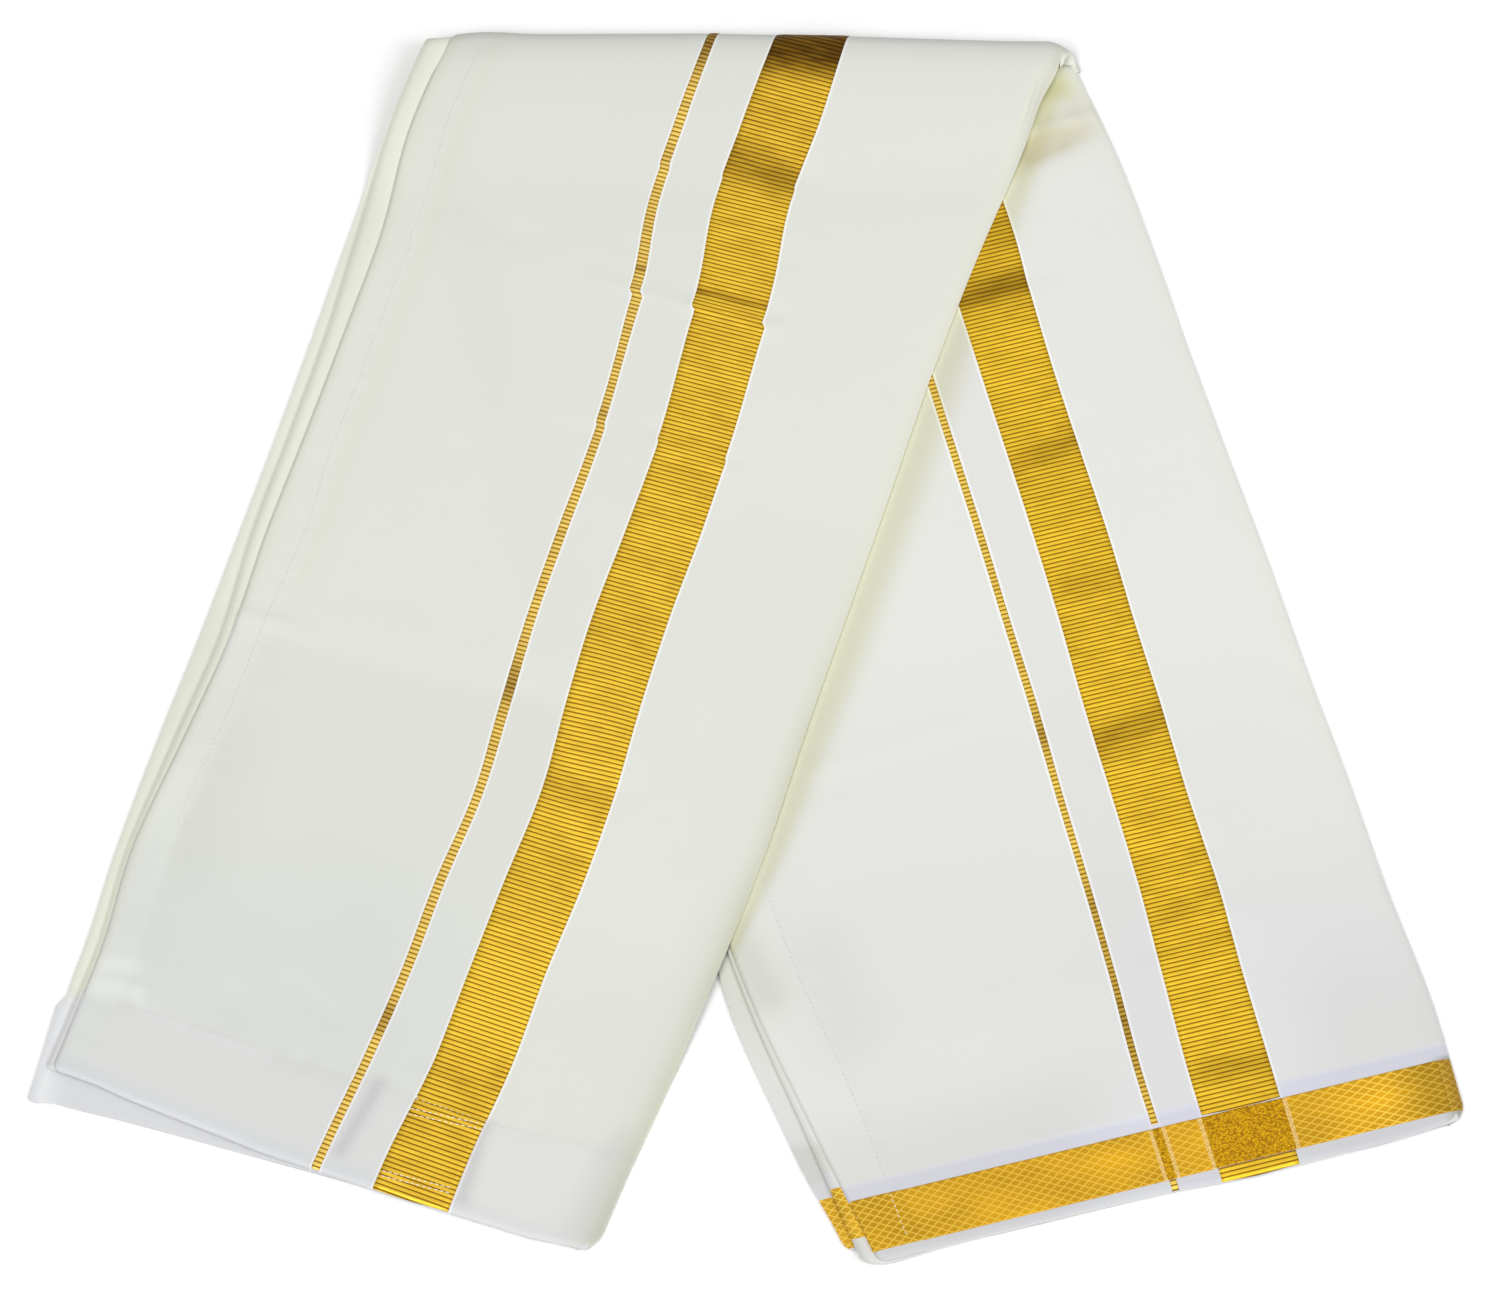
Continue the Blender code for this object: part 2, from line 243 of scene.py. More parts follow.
class Leg:
    """One leg's tables, and the two-way map between its plan and the flat cloth's U and V."""

    def __init__(self, rows, lines, marks, weft, tucks, drop):
        self.rows = rows
        self.drop = drop
        self.marks = marks
        self.weft = weft
        self.tucks = tucks
        fine = cubic(lines, np.linspace(0.0, len(lines) - 1.0, 300))
        self.line_y, self.line_x = fine[::-1, 0], fine[::-1, 1:].T

    def line(self, number, y):
        """X of a woven line at each y, with a small step where a sharp fold tucks the cloth."""
        x = np.interp(y, self.line_y, self.line_x[number])
        for tuck_y, slope, shift, reach in self.tucks:
            past = y - (tuck_y + slope * x)
            x = x - shift * np.tanh(past / 1.5) * np.exp(-np.abs(past) / reach)
        return x

    def middle(self, y):
        """X of the wide border's middle at each y."""
        return 0.5 * (self.line(3, y) + self.line(4, y))

    def u_at(self, x, y):
        """U of plan points: straight between neighbouring woven lines, and on at both sides."""
        u = np.zeros_like(x)
        for number in range(len(self.marks) - 1):
            left, right = self.line(number, y), self.line(number + 1, y)
            share = (x - left) / (right - left)
            here = self.marks[number] + share * (self.marks[number + 1] - self.marks[number])
            inside = (share >= 0.0) if number else np.full(x.shape, True)
            u = np.where(inside, here, u)
        return u

    def x_at(self, u, y):
        """X of the cloth's line U at each y, the inverse of u_at."""
        x = np.zeros_like(u * y)
        for number in range(len(self.marks) - 1):
            left, right = self.line(number, y), self.line(number + 1, y)
            share = (u - self.marks[number]) / (self.marks[number + 1] - self.marks[number])
            inside = (share >= 0.0) if number else np.full(x.shape, True)
            x = np.where(inside, left + share * (right - left), x)
        return x

    def v_at(self, x, y):
        """V of plan points: each crosswise thread is followed to the wide border's middle."""
        crossing = y
        for _ in range(6):
            slope = between(crossing, self.weft)
            crossing = y - slope * (x - self.middle(crossing))
        return (FOLD_Y - crossing) * ALONG_STRETCH

    def plan_at(self, u, v):
        """Plan x and y of the flat cloth's point U, V, the inverse of u_at and v_at."""
        crossing = FOLD_Y - v / ALONG_STRETCH
        slope = between(crossing, self.weft)
        middle = self.middle(crossing)
        y = crossing + 0.0 * u
        for _ in range(8):
            y = crossing + slope * (self.x_at(u, y) - middle)
        return self.x_at(u, y), y

    def left_x(self, y):
        """X of the leg's left edge at each y."""
        return np.interp(y, self.rows[::-1, 1], self.rows[::-1, 0])

    def right_x(self, y):
        """X of the leg's rolled right edge at each y."""
        return np.interp(y, self.rows[::-1, 3], self.rows[::-1, 2])

    def end_y(self, x):
        """Y of the leg's lower edge at plan x: the last row's straight line, less the drop."""
        left_x, left_y, right_x, right_y = self.rows[-1, :4]
        straight = left_y + (x - left_x) * (right_y - left_y) / (right_x - left_x)
        return straight - between(x, self.drop)


front = Leg(FRONT_ROWS, FRONT_LINES, FRONT_MARKS, FRONT_WEFT, FRONT_TUCKS, FRONT_DROP)
back = Leg(BACK_ROWS, BACK_LINES, BACK_MARKS, BACK_WEFT, [], BACK_DROP)
WIDE_FOOT_X = 245.0  # where the back leg's wide border ends
BACK_END = float(back.v_at(WIDE_FOOT_X, back.end_y(WIDE_FOOT_X)))
check_x, check_y = front.plan_at(np.array([100.0]), np.array([300.0]))
print("flat cloth and back again:", front.u_at(check_x, check_y), front.v_at(check_x, check_y))
print("back leg's woven end at V =", round(BACK_END, 1))

# %% [markdown]
# Cotton keeps the folds that it was pressed in. They are placed from the photograph, each
# with its own length, width and height, as soft ridges (above 0) and troughs (below 0). Smaller
# unevenness comes from a smooth noise, and the hems pucker along their stitches.

# %% Creases
FRONT_CREASES = [
    # from_x, from_y, to_x, to_y, half width, height
    (-262, 8, -75, -46, 24, 0.5),
    (-268, 4, -225, -8, 5, 0.3),
    (-303.5, -163.5, -259.4, -214.9, 12, -0.45),
    (-259.4, -214.9, -226.9, -247.2, 9, -0.4),
    (-322, -200, -300, -203, 2.5, -0.4),
    (-230.3, -205.6, -208.7, -223.7, 6, -0.45),
    (-174.9, -223.7, -158, -240.1, 6, -0.45),
    (-150.9, 248.8, -117.6, 227, 9, -0.6),
    (-84, 203, -58, 194.5, 2.6, 0.45),
    (-58, 194.5, -31.6, 185, 2.6, 0.45),
    (-31, 186, 12, 172, 4, 0.7),
    (-30, 196, 16, 181, 5, -0.6),
    (-48.5, 110.2, -10, 92, 5, -0.5),
    (-49, 103, -8, 85, 4, 0.5),
    (-96, 112, -76, 106, 4, -0.4),
    (-5, 86, -30, -134, 12, -0.45),
    (8, 270, 30, 262, 9, -0.5),
    (-5, 225, 24, 214, 9, -0.35),
    (-95, -90, -64, -102, 7, -0.5),
    (-165, -246, -128, -260, 6, -0.5),
    (-122, -40, -112, -44, 6, -0.3),
    (-270.2, 5, -240, -2, 4, 0.5),
    (-257.2, -40.9, -240, -38, 5, 0.35),
]
BACK_CREASES = [
    # from_x, from_y, to_x, to_y, half width, height
    (189, 312, 174, 305, 3.5, 1),
    (174, 305, 150, 297, 5, 1.7),
    (157, 328, 176, 322, 7, -0.9),
    (140, 306, 160, 314, 7, -0.6),
    (148, 284, 176, 296, 7, -1),
    (33, -86, 105.6, -61.4, 6, 0.45),
    (36, -96, 110, -71, 10, -0.35),
    (224, 178, 236, 166, 8, -0.5),
    (266, -20, 280, -36, 8, -0.5),
    (135, 204, 160, 211, 7, -0.45),
    (156, 113, 176, 120, 7, -0.4),
    (178, -72, 212, -64, 9, -0.5),
    (190, -142, 230, -132, 8, -0.5),
    (200, -186, 240, -176, 7, -0.4),
    (60, -235, 190, -205, 16, 0.4),
    (250, -170, 318, -150, 18, 0.5),
]


def crease_height(x, y, creases):
    """Sum of height * exp(-(distance / half width)^2), distance being to each crease's line."""
    total = np.zeros_like(x)
    for from_x, from_y, to_x, to_y, half_width, height in creases:
        length = math.hypot(to_x - from_x, to_y - from_y)
        along_x, along_y = (to_x - from_x) / length, (to_y - from_y) / length
        along = (x - from_x) * along_x + (y - from_y) * along_y
        aside = (y - from_y) * along_x - (x - from_x) * along_y
        past_end = np.maximum(np.maximum(-along, along - length), 0.0)
        total += height * np.exp(-(np.hypot(aside, past_end) / half_width) ** 2)
    return total


def soft_noise(x, y, size, seed):
    """Smooth bumps from -1 to 1: random numbers on a square grid, with a smoothstep between."""
    table = np.random.default_rng(seed).uniform(-1.0, 1.0, (64, 64))
    column, row = x / size + 640.0, y / size + 640.0
    left, low = np.floor(column).astype(int), np.floor(row).astype(int)
    part_x, part_y = smooth(column - left), smooth(row - low)

    def corner(step_x, step_y):
        return table[(left + step_x) % 64, (low + step_y) % 64]

    near = corner(0, 0) * (1 - part_x) + corner(1, 0) * part_x
    far = corner(0, 1) * (1 - part_x) + corner(1, 1) * part_x
    return near * (1 - part_y) + far * part_y


END_HEM_LINE = np.array([
    # x, y of the upper edge of the front leg's end hem
    (-350, -207), (-319.2, -214.5), (-301.2, -219.5), (-280, -226.5), (-258.8, -234.5),
    (-228.9, -247), (-199.3, -256.5), (-168, -266), (-121.5, -282.5), (-93.8, -289),
    (-40, -303),
])


def below_end_hem_line(x, y):
    """How far a plan point of the front leg lies below the end hem's upper edge."""
    return between(x, END_HEM_LINE) - y


def puckers(along, aside, reach, size, seed):
    """Short uneven ripples across a stitched line, fading with the distance aside."""
    ripple = soft_noise(along, 0.0 * along, size, seed)
    return ripple * np.exp(-(aside / reach) ** 2)


SEAM_DENT = 1.6
DEEPEST = -1.1


def front_relief(x, y):
    """Creases, puckers and unevenness of the front leg, flat near the top fold."""
    u, v = front.u_at(x, y), front.v_at(x, y)
    below = below_end_hem_line(x, y)
    total = crease_height(x, y, FRONT_CREASES)
    total += 0.20 * soft_noise(x, y, 55.0, 3) + 0.07 * soft_noise(x + y, y - x, 23.0, 4)
    total += 0.22 * puckers(v, u - FRONT_SIDE_HEM, 7.0, 6.0, 5)
    total += 0.30 * puckers(u, below, 7.0, 7.0, 6)
    total -= 0.18 * np.exp(-((u - 18.0) / SEAM_DENT) ** 2)
    total -= 0.20 * np.exp(-((below - 2.0) / SEAM_DENT) ** 2)
    return total * smooth((FOLD_Y - y) / 40.0)


def back_relief(x, y):
    """Creases, puckers and unevenness of the back leg."""
    u, v = back.u_at(x, y), back.v_at(x, y)
    total = crease_height(x, y, BACK_CREASES)
    total += 0.18 * soft_noise(x, y, 60.0, 13) + 0.06 * soft_noise(x + y, y - x, 25.0, 14)
    total += 0.14 * puckers(v, u - BACK_SIDE_HEM, 7.0, 7.0, 15)
    total += 0.10 * puckers(u, v - BACK_END + BAND_TOP, 5.0, 8.0, 16)
    return np.maximum(total, DEEPEST)


probe = front_relief(*np.meshgrid(np.linspace(-300.0, 60.0, 40), np.linspace(-300.0, 300.0, 60)))
print("front relief from", probe.min().round(2), "to", probe.max().round(2))

# %% [markdown]
# Each leg is first worked out flat on its plan, as if the top fold were opened, with a height
# above its own underside. One function for each leg then lays these points down: the front leg
# rises over the back leg and wraps round the soft loop of the top fold.

# %% Lay the legs down
FOLD_TILT = np.array([
    # plan x, how much nearer to the viewer the top fold lies there
    (-165, 2.3), (-150, 1.5), (-130, 0.4), (-26, 0), (51, 1.7), (82, 2.9), (113, 4.1),
    (140, 5),
])


def front_underside(x, y):
    """Height of the front leg's underside: on the table, or over the back leg and its fold."""
    beside = back.left_x(y) - x
    lifted = OVER * (1.0 - smooth((beside - OVER_FROM) / (OVER_TO - OVER_FROM)))
    crown = FOLD_CENTRE + FOLD_HOLLOW
    near_fold = 1.0 - smooth((FOLD_Y - y) / FOLD_LIE)
    return lifted + (crown - lifted) * near_fold


def follow(height, relief):
    """A top layer follows the whole relief; the lower ones only its troughs, less near the table."""
    pressed = np.clip(height / STACK, 0.0, 1.0)
    return np.where(height < STACK, pressed * np.minimum(relief, 0.0), relief)


def lay_front(x, y, height):
    """Points in metres: flat on the leg up to the fold, then round it by (y - FOLD_Y) / radius."""
    flat_z = front_underside(x, y) + height + follow(height, front_relief(x, y))
    beyond = np.maximum(y - FOLD_Y, 0.0)
    turn = np.minimum(beyond / FOLD_RADIUS, math.pi)
    tail = np.maximum(beyond - math.pi * FOLD_RADIUS, 0.0)
    swell = SWELL_HEIGHT * np.exp(-((x - SWELL_X) / SWELL_WIDTH) ** 2)
    radius = FOLD_HOLLOW + height + swell * np.sin(turn)
    z = np.where(beyond > 0.0, FOLD_CENTRE + radius * np.cos(turn), flat_z)
    there = np.where(beyond > 0.0, FOLD_Y + radius * np.sin(turn) - tail, y)
    tilt = between(x, FOLD_TILT)
    there = there - tilt * smooth((y - FOLD_Y + FOLD_LIE) / FOLD_LIE)
    return np.stack([x, there, z], axis=-1) * MM


def lay_back(x, y, height):
    """Points in metres: the back leg lies flat on the table."""
    return np.stack([x, y, height + follow(height, back_relief(x, y))], axis=-1) * MM


# Each leg knows how its points are laid down
front.lay, back.lay = lay_front, lay_back


def sections(leg, count, close_rows=0):
    """Edges and steps out of sections from the leg's end up to the fold, some closer at the end."""
    last = len(leg.rows) - 1.0
    close = np.linspace(last, last - 0.14, close_rows + 1)
    place = np.concatenate([close[:-1], np.linspace(close[-1], 0.0, count - close_rows)])
    return cubic(leg.rows, place)


def from_end(edges):
    """Distance of each section from the leg's end, along the middle."""
    middle = 0.5 * (edges[:, :2] + edges[:, 2:4])
    steps = np.hypot(*np.diff(middle, axis=0).T)
    return np.concatenate([[0.0], np.cumsum(steps)])[:, None]


def dropped(edges, x, y, drop):
    """Y of plan points with the leg's lower edge let down by its drop, fading up the leg."""
    share = smooth(1.0 - from_end(edges) / DROP_REACH)
    return y - share * between(x, drop)


def corner_inset(edges, radius):
    """How far a round corner cuts each section short: r - sqrt(r^2 - (r - distance)^2)."""
    into = np.maximum(radius - from_end(edges), 0.0)
    return radius - np.sqrt(radius ** 2 - into ** 2)


def fold_slide(y):
    """How far the strip moves to the right on its way round the top fold."""
    return FOLD_SLIDE * np.maximum(y - FOLD_Y, 0.0) / (math.pi * FOLD_RADIUS)


def with_fold(edges, turn_rows, tail):
    """More sections after the last one, round the top fold and a little back under it."""
    length = math.pi * FOLD_RADIUS + tail
    beyond = np.linspace(0.0, length, turn_rows + 1)[1:]
    more = np.repeat(edges[-1:], turn_rows, axis=0)
    more[:, 0] += fold_slide(FOLD_Y + beyond)
    more[:, 2] += fold_slide(FOLD_Y + beyond)
    more[:, 1] += beyond
    more[:, 3] += beyond
    return np.concatenate([edges, more])


def width_of(edges):
    """Width of each section, from its left edge to its right one."""
    return np.hypot(edges[:, 2] - edges[:, 0], edges[:, 3] - edges[:, 1])[:, None]


def spread(edges, across):
    """Plan x and y at distances across each section; what lies left of the edge goes along -X."""
    width = width_of(edges)
    inside, outside = np.maximum(across, 0.0), np.minimum(across, 0.0)
    x = edges[:, 0:1] + (edges[:, 2:3] - edges[:, 0:1]) * inside / width + outside
    y = edges[:, 1:2] + (edges[:, 3:4] - edges[:, 1:2]) * inside / width
    return x, y


# %% [markdown]
# Every piece of cloth is a grid of points with four-sided faces between them. It rides on the
# cloth's one body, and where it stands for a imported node, that node is hidden.

# %% Meshes from grids


def grid_mesh(name, points, uv):
    """A mesh with four-sided faces between neighbouring points of a grid, and its U and V in mm."""
    rows, columns = points.shape[:2]
    start = np.arange(rows - 1)[:, None] * columns + np.arange(columns - 1)[None, :]
    faces = np.stack([start, start + 1, start + columns + 1, start + columns], axis=-1).reshape(-1, 4)
    mesh = bpy.data.meshes.new(name)
    mesh.vertices.add(rows * columns)
    mesh.vertices.foreach_set("co", points.reshape(-1).astype(np.float32))
    mesh.loops.add(faces.size)
    mesh.loops.foreach_set("vertex_index", faces.reshape(-1).astype(np.int32))
    mesh.polygons.add(len(faces))
    mesh.polygons.foreach_set("loop_start", np.arange(len(faces), dtype=np.int32) * 4)
    mesh.update(calc_edges=True)
    layer = mesh.uv_layers.new(name="cloth_mm")
    corners = np.stack(uv, axis=-1).reshape(-1, 2)[faces.reshape(-1)]
    layer.data.foreach_set("uv", corners.reshape(-1).astype(np.float32))
    mesh.polygons.foreach_set("use_smooth", np.full(len(faces), True))
    return mesh


def add_tone(mesh, tone):
    """Store a colour for each point, with its painted light and shade, which the materials multiply
    into the cloth's own colour.
    """
    attribute = mesh.attributes.new("tone", "FLOAT_COLOR", "POINT")
    rgba = np.concatenate([tone.reshape(-1, 3), np.ones((tone.size // 3, 1))], axis=1)
    attribute.data.foreach_set("color", rgba.reshape(-1).astype(np.float32))


def add_piece(name, mesh, material, slot, thickness, replaced=()):
    """Link the piece, give it its thickness inwards, and let it ride on the cloth's one body."""
    piece = bpy.data.objects.new(name, mesh)
    bpy.context.scene.collection.objects.link(piece)
    mesh.materials.append(material)
    if thickness:
        wall = piece.modifiers.new("wall", "SOLIDIFY")
        wall.thickness = thickness * MM
        wall.offset = -1.0
    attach(piece, "root")
    if replaced:
        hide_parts(*replaced)
    print(name, "faces:", len(mesh.polygons))
    return piece


def add_cloth(name, points, uv, tone, material, slot, thickness, replaced=()):
    """A piece made from a grid of points, their U and V, and their tone."""
    mesh = grid_mesh(name, points, uv)
    add_tone(mesh, tone)
    return add_piece(name, mesh, material, slot, thickness, replaced)


# %% [markdown]
# Fine cotton is never one flat colour. Where four layers lie over the table it looks a little
# greyer than where eight do, and the hems are whiter. Light and shade are painted in as well: the
# light that gets under the rolled edge comes back yellow-green and is painted beside the roll as a
# yellow-green shade, painted shade darkens the top fold, the rolled edges and the creases at the
# fold's end, and painted light lifts the cloth beside the layers' edges, where their shadow falls.
# These slow changes are worked out here as a colour for each point. Each mark has a share from 0
# to 1 and a colour, and multiplies the tone by 1 - share + share * colour.

# %% Slow changes of tone, with painted shade and painted light
PAINTED_SHADE_BESIDE_ROLL = (0.86, 0.85, 0.69)
BACK_WHITE = np.array([1.0, 1.0, 1.02])
FRONT_SPOTS = [
    # from_x, from_y, to_x, to_y, half width, colour
    # painted shade along a broad trough
    (-166, 286, -98, -10, 16, (0.985, 0.985, 0.98)),
    # painted highlights on the small folds at the end hem's left corner
    (-325, -194.5, -307, -196, 4, (1.06, 1.06, 1.07)),
    (-326, -206, -310, -210, 5, (1.06, 1.06, 1.07)),
    (-305.5, -210, -304, -218, 3, (1.08, 1.08, 1.09)),
    # lighter lines along the end hem
    (-300, -222, -240, -246, 2.5, (1.05, 1.05, 1.06)),
    (-330, -262, -250, -290, 3, (1.025, 1.025, 1.035)),
    # grey where the turned-under borders show through the hem
    (-131.5, -283, -141.5, -322, 4, (0.84, 0.82, 0.86)),
    (-184, -261, -202, -297, 4, (0.84, 0.82, 0.86)),
    (-326, -150, -312, -165, 30, 0.965),
    # painted shade along the rounded lower right corner
    (-84, -335, -64, -292, 9, (0.93, 0.93, 0.94)),
]
BACK_SPOTS = [
    # painted shade at the open end of the top fold and in the creases beside it
    (150, 322, 168, 326, 9, (0.85, 0.84, 0.62)),
    (140, 300, 185, 312, 13, (0.96, 0.95, 0.87)),
    # painted shade beside the crossing, where the front leg's roll meets the back leg
    (-10, -180, 8, -212, 12, (0.87, 0.87, 0.83)),
    (36, -190, 50, -235, 20, (0.955, 0.95, 0.955)),
]
BROAD_CREASE = np.array([(-265.0, 3.0), (-170.0, -25.0), (-76.0, -47.0), (30.0, -70.0)])
ROLL_REACH = np.array([
    # y, how far the roll's yellow-green light reaches
    (-185, 5), (-125, 10.5), (-38, 15.5), (79, 17), (195, 16), (320, 10),
])


def near_line(x, y, *line):
    """1 on a line and falling off beside it, exp(-(distance / half width)^2)."""
    return crease_height(x, y, [(*line, 1.0)])


def shaded_and_tinted(x, y, spots, tints):
    """A tone of 1, multiplied by each colour (or grey) as strongly as its share says."""
    shares = [(near_line(x, y, *spot[:5]), spot[5]) for spot in spots] + tints
    tone = np.ones(x.shape + (3,))
    for share, colour in shares:
        share = np.clip(share, 0.0, 1.0)[..., None]
        tone = tone * (1.0 - share + share * np.asarray(colour))
    return tone


def front_tone(x, y):
    """Front leg: greyer below the broad crease, whiter hems, painted shade on the roll, the lower right
    corner and the top fold, painted highlights at the end hem's corner.
    """
    u = front.u_at(x, y)
    below = below_end_hem_line(x, y)
    above_end = y - front.end_y(x)
    edge = front.right_x(y) - x
    in_hem = smooth((below + 1.0) / 2.0)
    inner = smooth((u - FRONT_SIDE_HEM + 1.0) / 3.0)
    right_half = smooth((u - FRONT_MARKS[3]) / 30.0)
    left_half = 1.0 - right_half
    past_crease = smooth((between(x, BROAD_CREASE) - y) / 14.0)
    greyer = past_crease * smooth(-below / 4.0 + 0.5) * smooth((60.0 - x) / 120.0) * inner * left_half
    beside_hem = np.exp(-((u - FRONT_SIDE_HEM - 7.0) / 7.0) ** 2) * smooth((y + 60.0) / 120.0)
    return shaded_and_tinted(x, y, FRONT_SPOTS, [
        (greyer, (0.955, 0.96, 0.96)),
        (smooth((-90.0 - y) / 110.0) * smooth((-110.0 - x) / 90.0) * inner, (0.965, 0.965, 0.98)),
        (left_half * smooth((-80.0 - y) / 150.0), (0.985, 0.985, 1.0)),
        (right_half * smooth((y - 20.0) / 60.0), 1.025),
        (right_half * smooth((-150.0 - y) / 80.0) * (1.0 - in_hem), 0.965),
        (in_hem, (0.955, 0.955, 0.975)),
        (smooth((y - 200.0) / 145.0), 0.955),
        (0.8 * smooth((6.0 - u) / 3.0) * smooth(-below / 10.0), (0.97, 0.98, 0.90)),
        ((1.0 - inner) * smooth((40.0 - y) / 120.0), (0.955, 0.96, 0.97)),
        (beside_hem, (0.98, 0.98, 0.945)),
        (smooth((14.0 - above_end) / 10.0), (0.96, 0.96, 1.0)),
        (near_line(x, y, -268.0, -70.0, -284.0, -130.0, 24.0) * inner, 0.95),
        (near_line(x, y, -302.0, -92.0, -306.0, -104.0, 18.0) * (1.0 - inner), 1.04),
        # painted shade on the rolled right edge, yellow-green higher up and grey lower down
        (smooth((40.0 - y) / 140.0) * np.exp(-(edge / 8.0) ** 2), (0.88, 0.88, 0.82)),
        (smooth((-120.0 - y) / 60.0) * np.exp(-(edge / 16.0) ** 2), (0.94, 0.94, 0.93)),
        # painted shade on the rounded lower right corner
        (smooth((60.0 - above_end) / 30.0) * np.exp(-(edge / 5.0) ** 2), (0.93, 0.93, 0.95)),
        # painted shade on the top fold, which turns away from the lamps
        (smooth((y - FOLD_Y + 14.0) / 26.0), (0.82, 0.82, 0.83)),
    ])


def back_tone(x, y):
    """Back leg: painted yellow-green shade beside the front leg's roll, painted light along its contact
    line and the back leg's roll, painted shade in the creases at the fold's end and at the band's right
    end, cooler towards the lower right.
    """
    u = back.u_at(x, y)
    above_end = BACK_END - back.v_at(x, y)
    edge = back.right_x(y) - x
    beside = np.maximum(x - front.right_x(y), 0.0)
    reach = between(y, ROLL_REACH)
    # painted shade in the creases at the open end of the top fold
    crease_shade = near_line(x, y, 178.0, 299.0, 152.0, 286.0, 7.0)
    crease_shade = crease_shade + near_line(x, y, 165.0, 292.0, 140.0, 276.0, 8.0)
    near_band = smooth((BAND_TOP + 60.0 - above_end) / 50.0) * smooth((200.0 - x) / 60.0)
    # painted shade at the band's right end, where it turns round the roll
    band_end_shade = smooth((BAND_TOP + 2.0 - above_end) / 2.0) * smooth((14.0 - edge) / 12.0)
    lift = 0.05 * smooth((y + 130.0) / 160.0) - 0.02 * smooth((-110.0 - y) / 60.0)
    return (1.0 + lift)[..., None] * BACK_WHITE * shaded_and_tinted(x, y, BACK_SPOTS, [
        # painted yellow-green shade beside the front leg's roll
        (np.exp(-(beside / reach) ** 4) * smooth((y + 215.0) / 30.0), PAINTED_SHADE_BESIDE_ROLL),
        # painted light along the roll's contact line, where its shadow falls
        (np.exp(-(beside / 2.0) ** 2), (1.1, 1.1, 1.08)),
        (smooth((x - 150.0 - 0.3 * y) / 160.0) * smooth((-60.0 - y) / 140.0), (0.985, 0.985, 1.03)),
        (1.0 - smooth((u - BACK_SIDE_HEM) / 1.5), 1.01),
        (smooth(u - BACK_MARKS[2]) * smooth(BACK_MARKS[3] - u), (0.98, 0.965, 0.985)),
        (0.8 * crease_shade, (0.84, 0.79, 0.66)),
        # painted light along the back leg's rolled right edge
        (np.exp(-(edge / 7.0) ** 2) * smooth((y + 240.0) / 60.0), (1.02, 1.02, 1.01)),
        (smooth((BAND_TOP + BAND_EDGE - above_end) / 2.5), (0.88, 0.88, 0.93)),
        (near_band, (0.925, 0.915, 0.92)),
        (smooth((-140.0 - y) / 90.0) * smooth((x - 245.0) / 60.0), (0.94, 0.93, 0.925)),
        (band_end_shade, (0.6, 0.56, 0.45)),
    ])


def lower_front_tone(x, y):
    """Cold white at the corner that slips out, yellow-green along the fan of edges, painted light
    beside the edges of the layers above.
    """
    corner = smooth((-205.0 - y) / 12.0)
    hidden = front.left_x(y) - x
    second = np.interp(y, FRONT_ROWS[::-1, 1], FRONT_ROWS[::-1, 5])
    share = smooth((150.0 - y) / 250.0)[..., None]
    fan = np.array([1.01, 1.01, 0.94]) - share * np.array([0.07, 0.065, 0.07])
    return shaded_and_tinted(x, y, [], [
        (corner, (0.90, 0.895, 0.985)),
        # painted light beside the left edges of the layers above, where their shadow falls
        (np.exp(-(hidden / 4.0) ** 2), (1.09, 1.09, 1.08)),
        (np.exp(-((hidden - second - 1.0) / 3.0) ** 2), (1.13, 1.13, 1.12)),
        (1.0 - corner, fan),
    ])


def lower_back_tone(x, y):
    """Painted greenish shade where the front leg covers it, painted light beside the top layer's left
    edge, cooler towards the woven end.
    """
    return shaded_and_tinted(x, y, [], [
        (smooth((-190.0 - y) / 120.0), (0.93, 0.93, 0.98)),
        # painted light beside the top layer's left edge, where its shadow falls
        (np.exp(-((back.left_x(y) - x) / 4.0) ** 2), (1.12, 1.12, 1.08)),
        (smooth((-288.0 - y) / 8.0) * smooth((70.0 - x) / 20.0), (0.88, 0.86, 0.84)),
        # painted shade where the front leg covers it
        (smooth((y + 265.0) / 60.0), (0.89, 0.895, 0.88)),
    ])


print("tone beside the roll:", back_tone(np.array([60.0]), np.array([0.0])).round(2))

# %% [markdown]
# The materials come before the pieces, because each piece takes one as it is made. What several
# of them need is a node group: the plain weave of the cotton, a soft-edged band between two
# values, and the round threads of the zari. They all read the UV map in millimetres.

# %% Node helpers
WHITE = (1.0, 1.0, 1.0, 1.0)


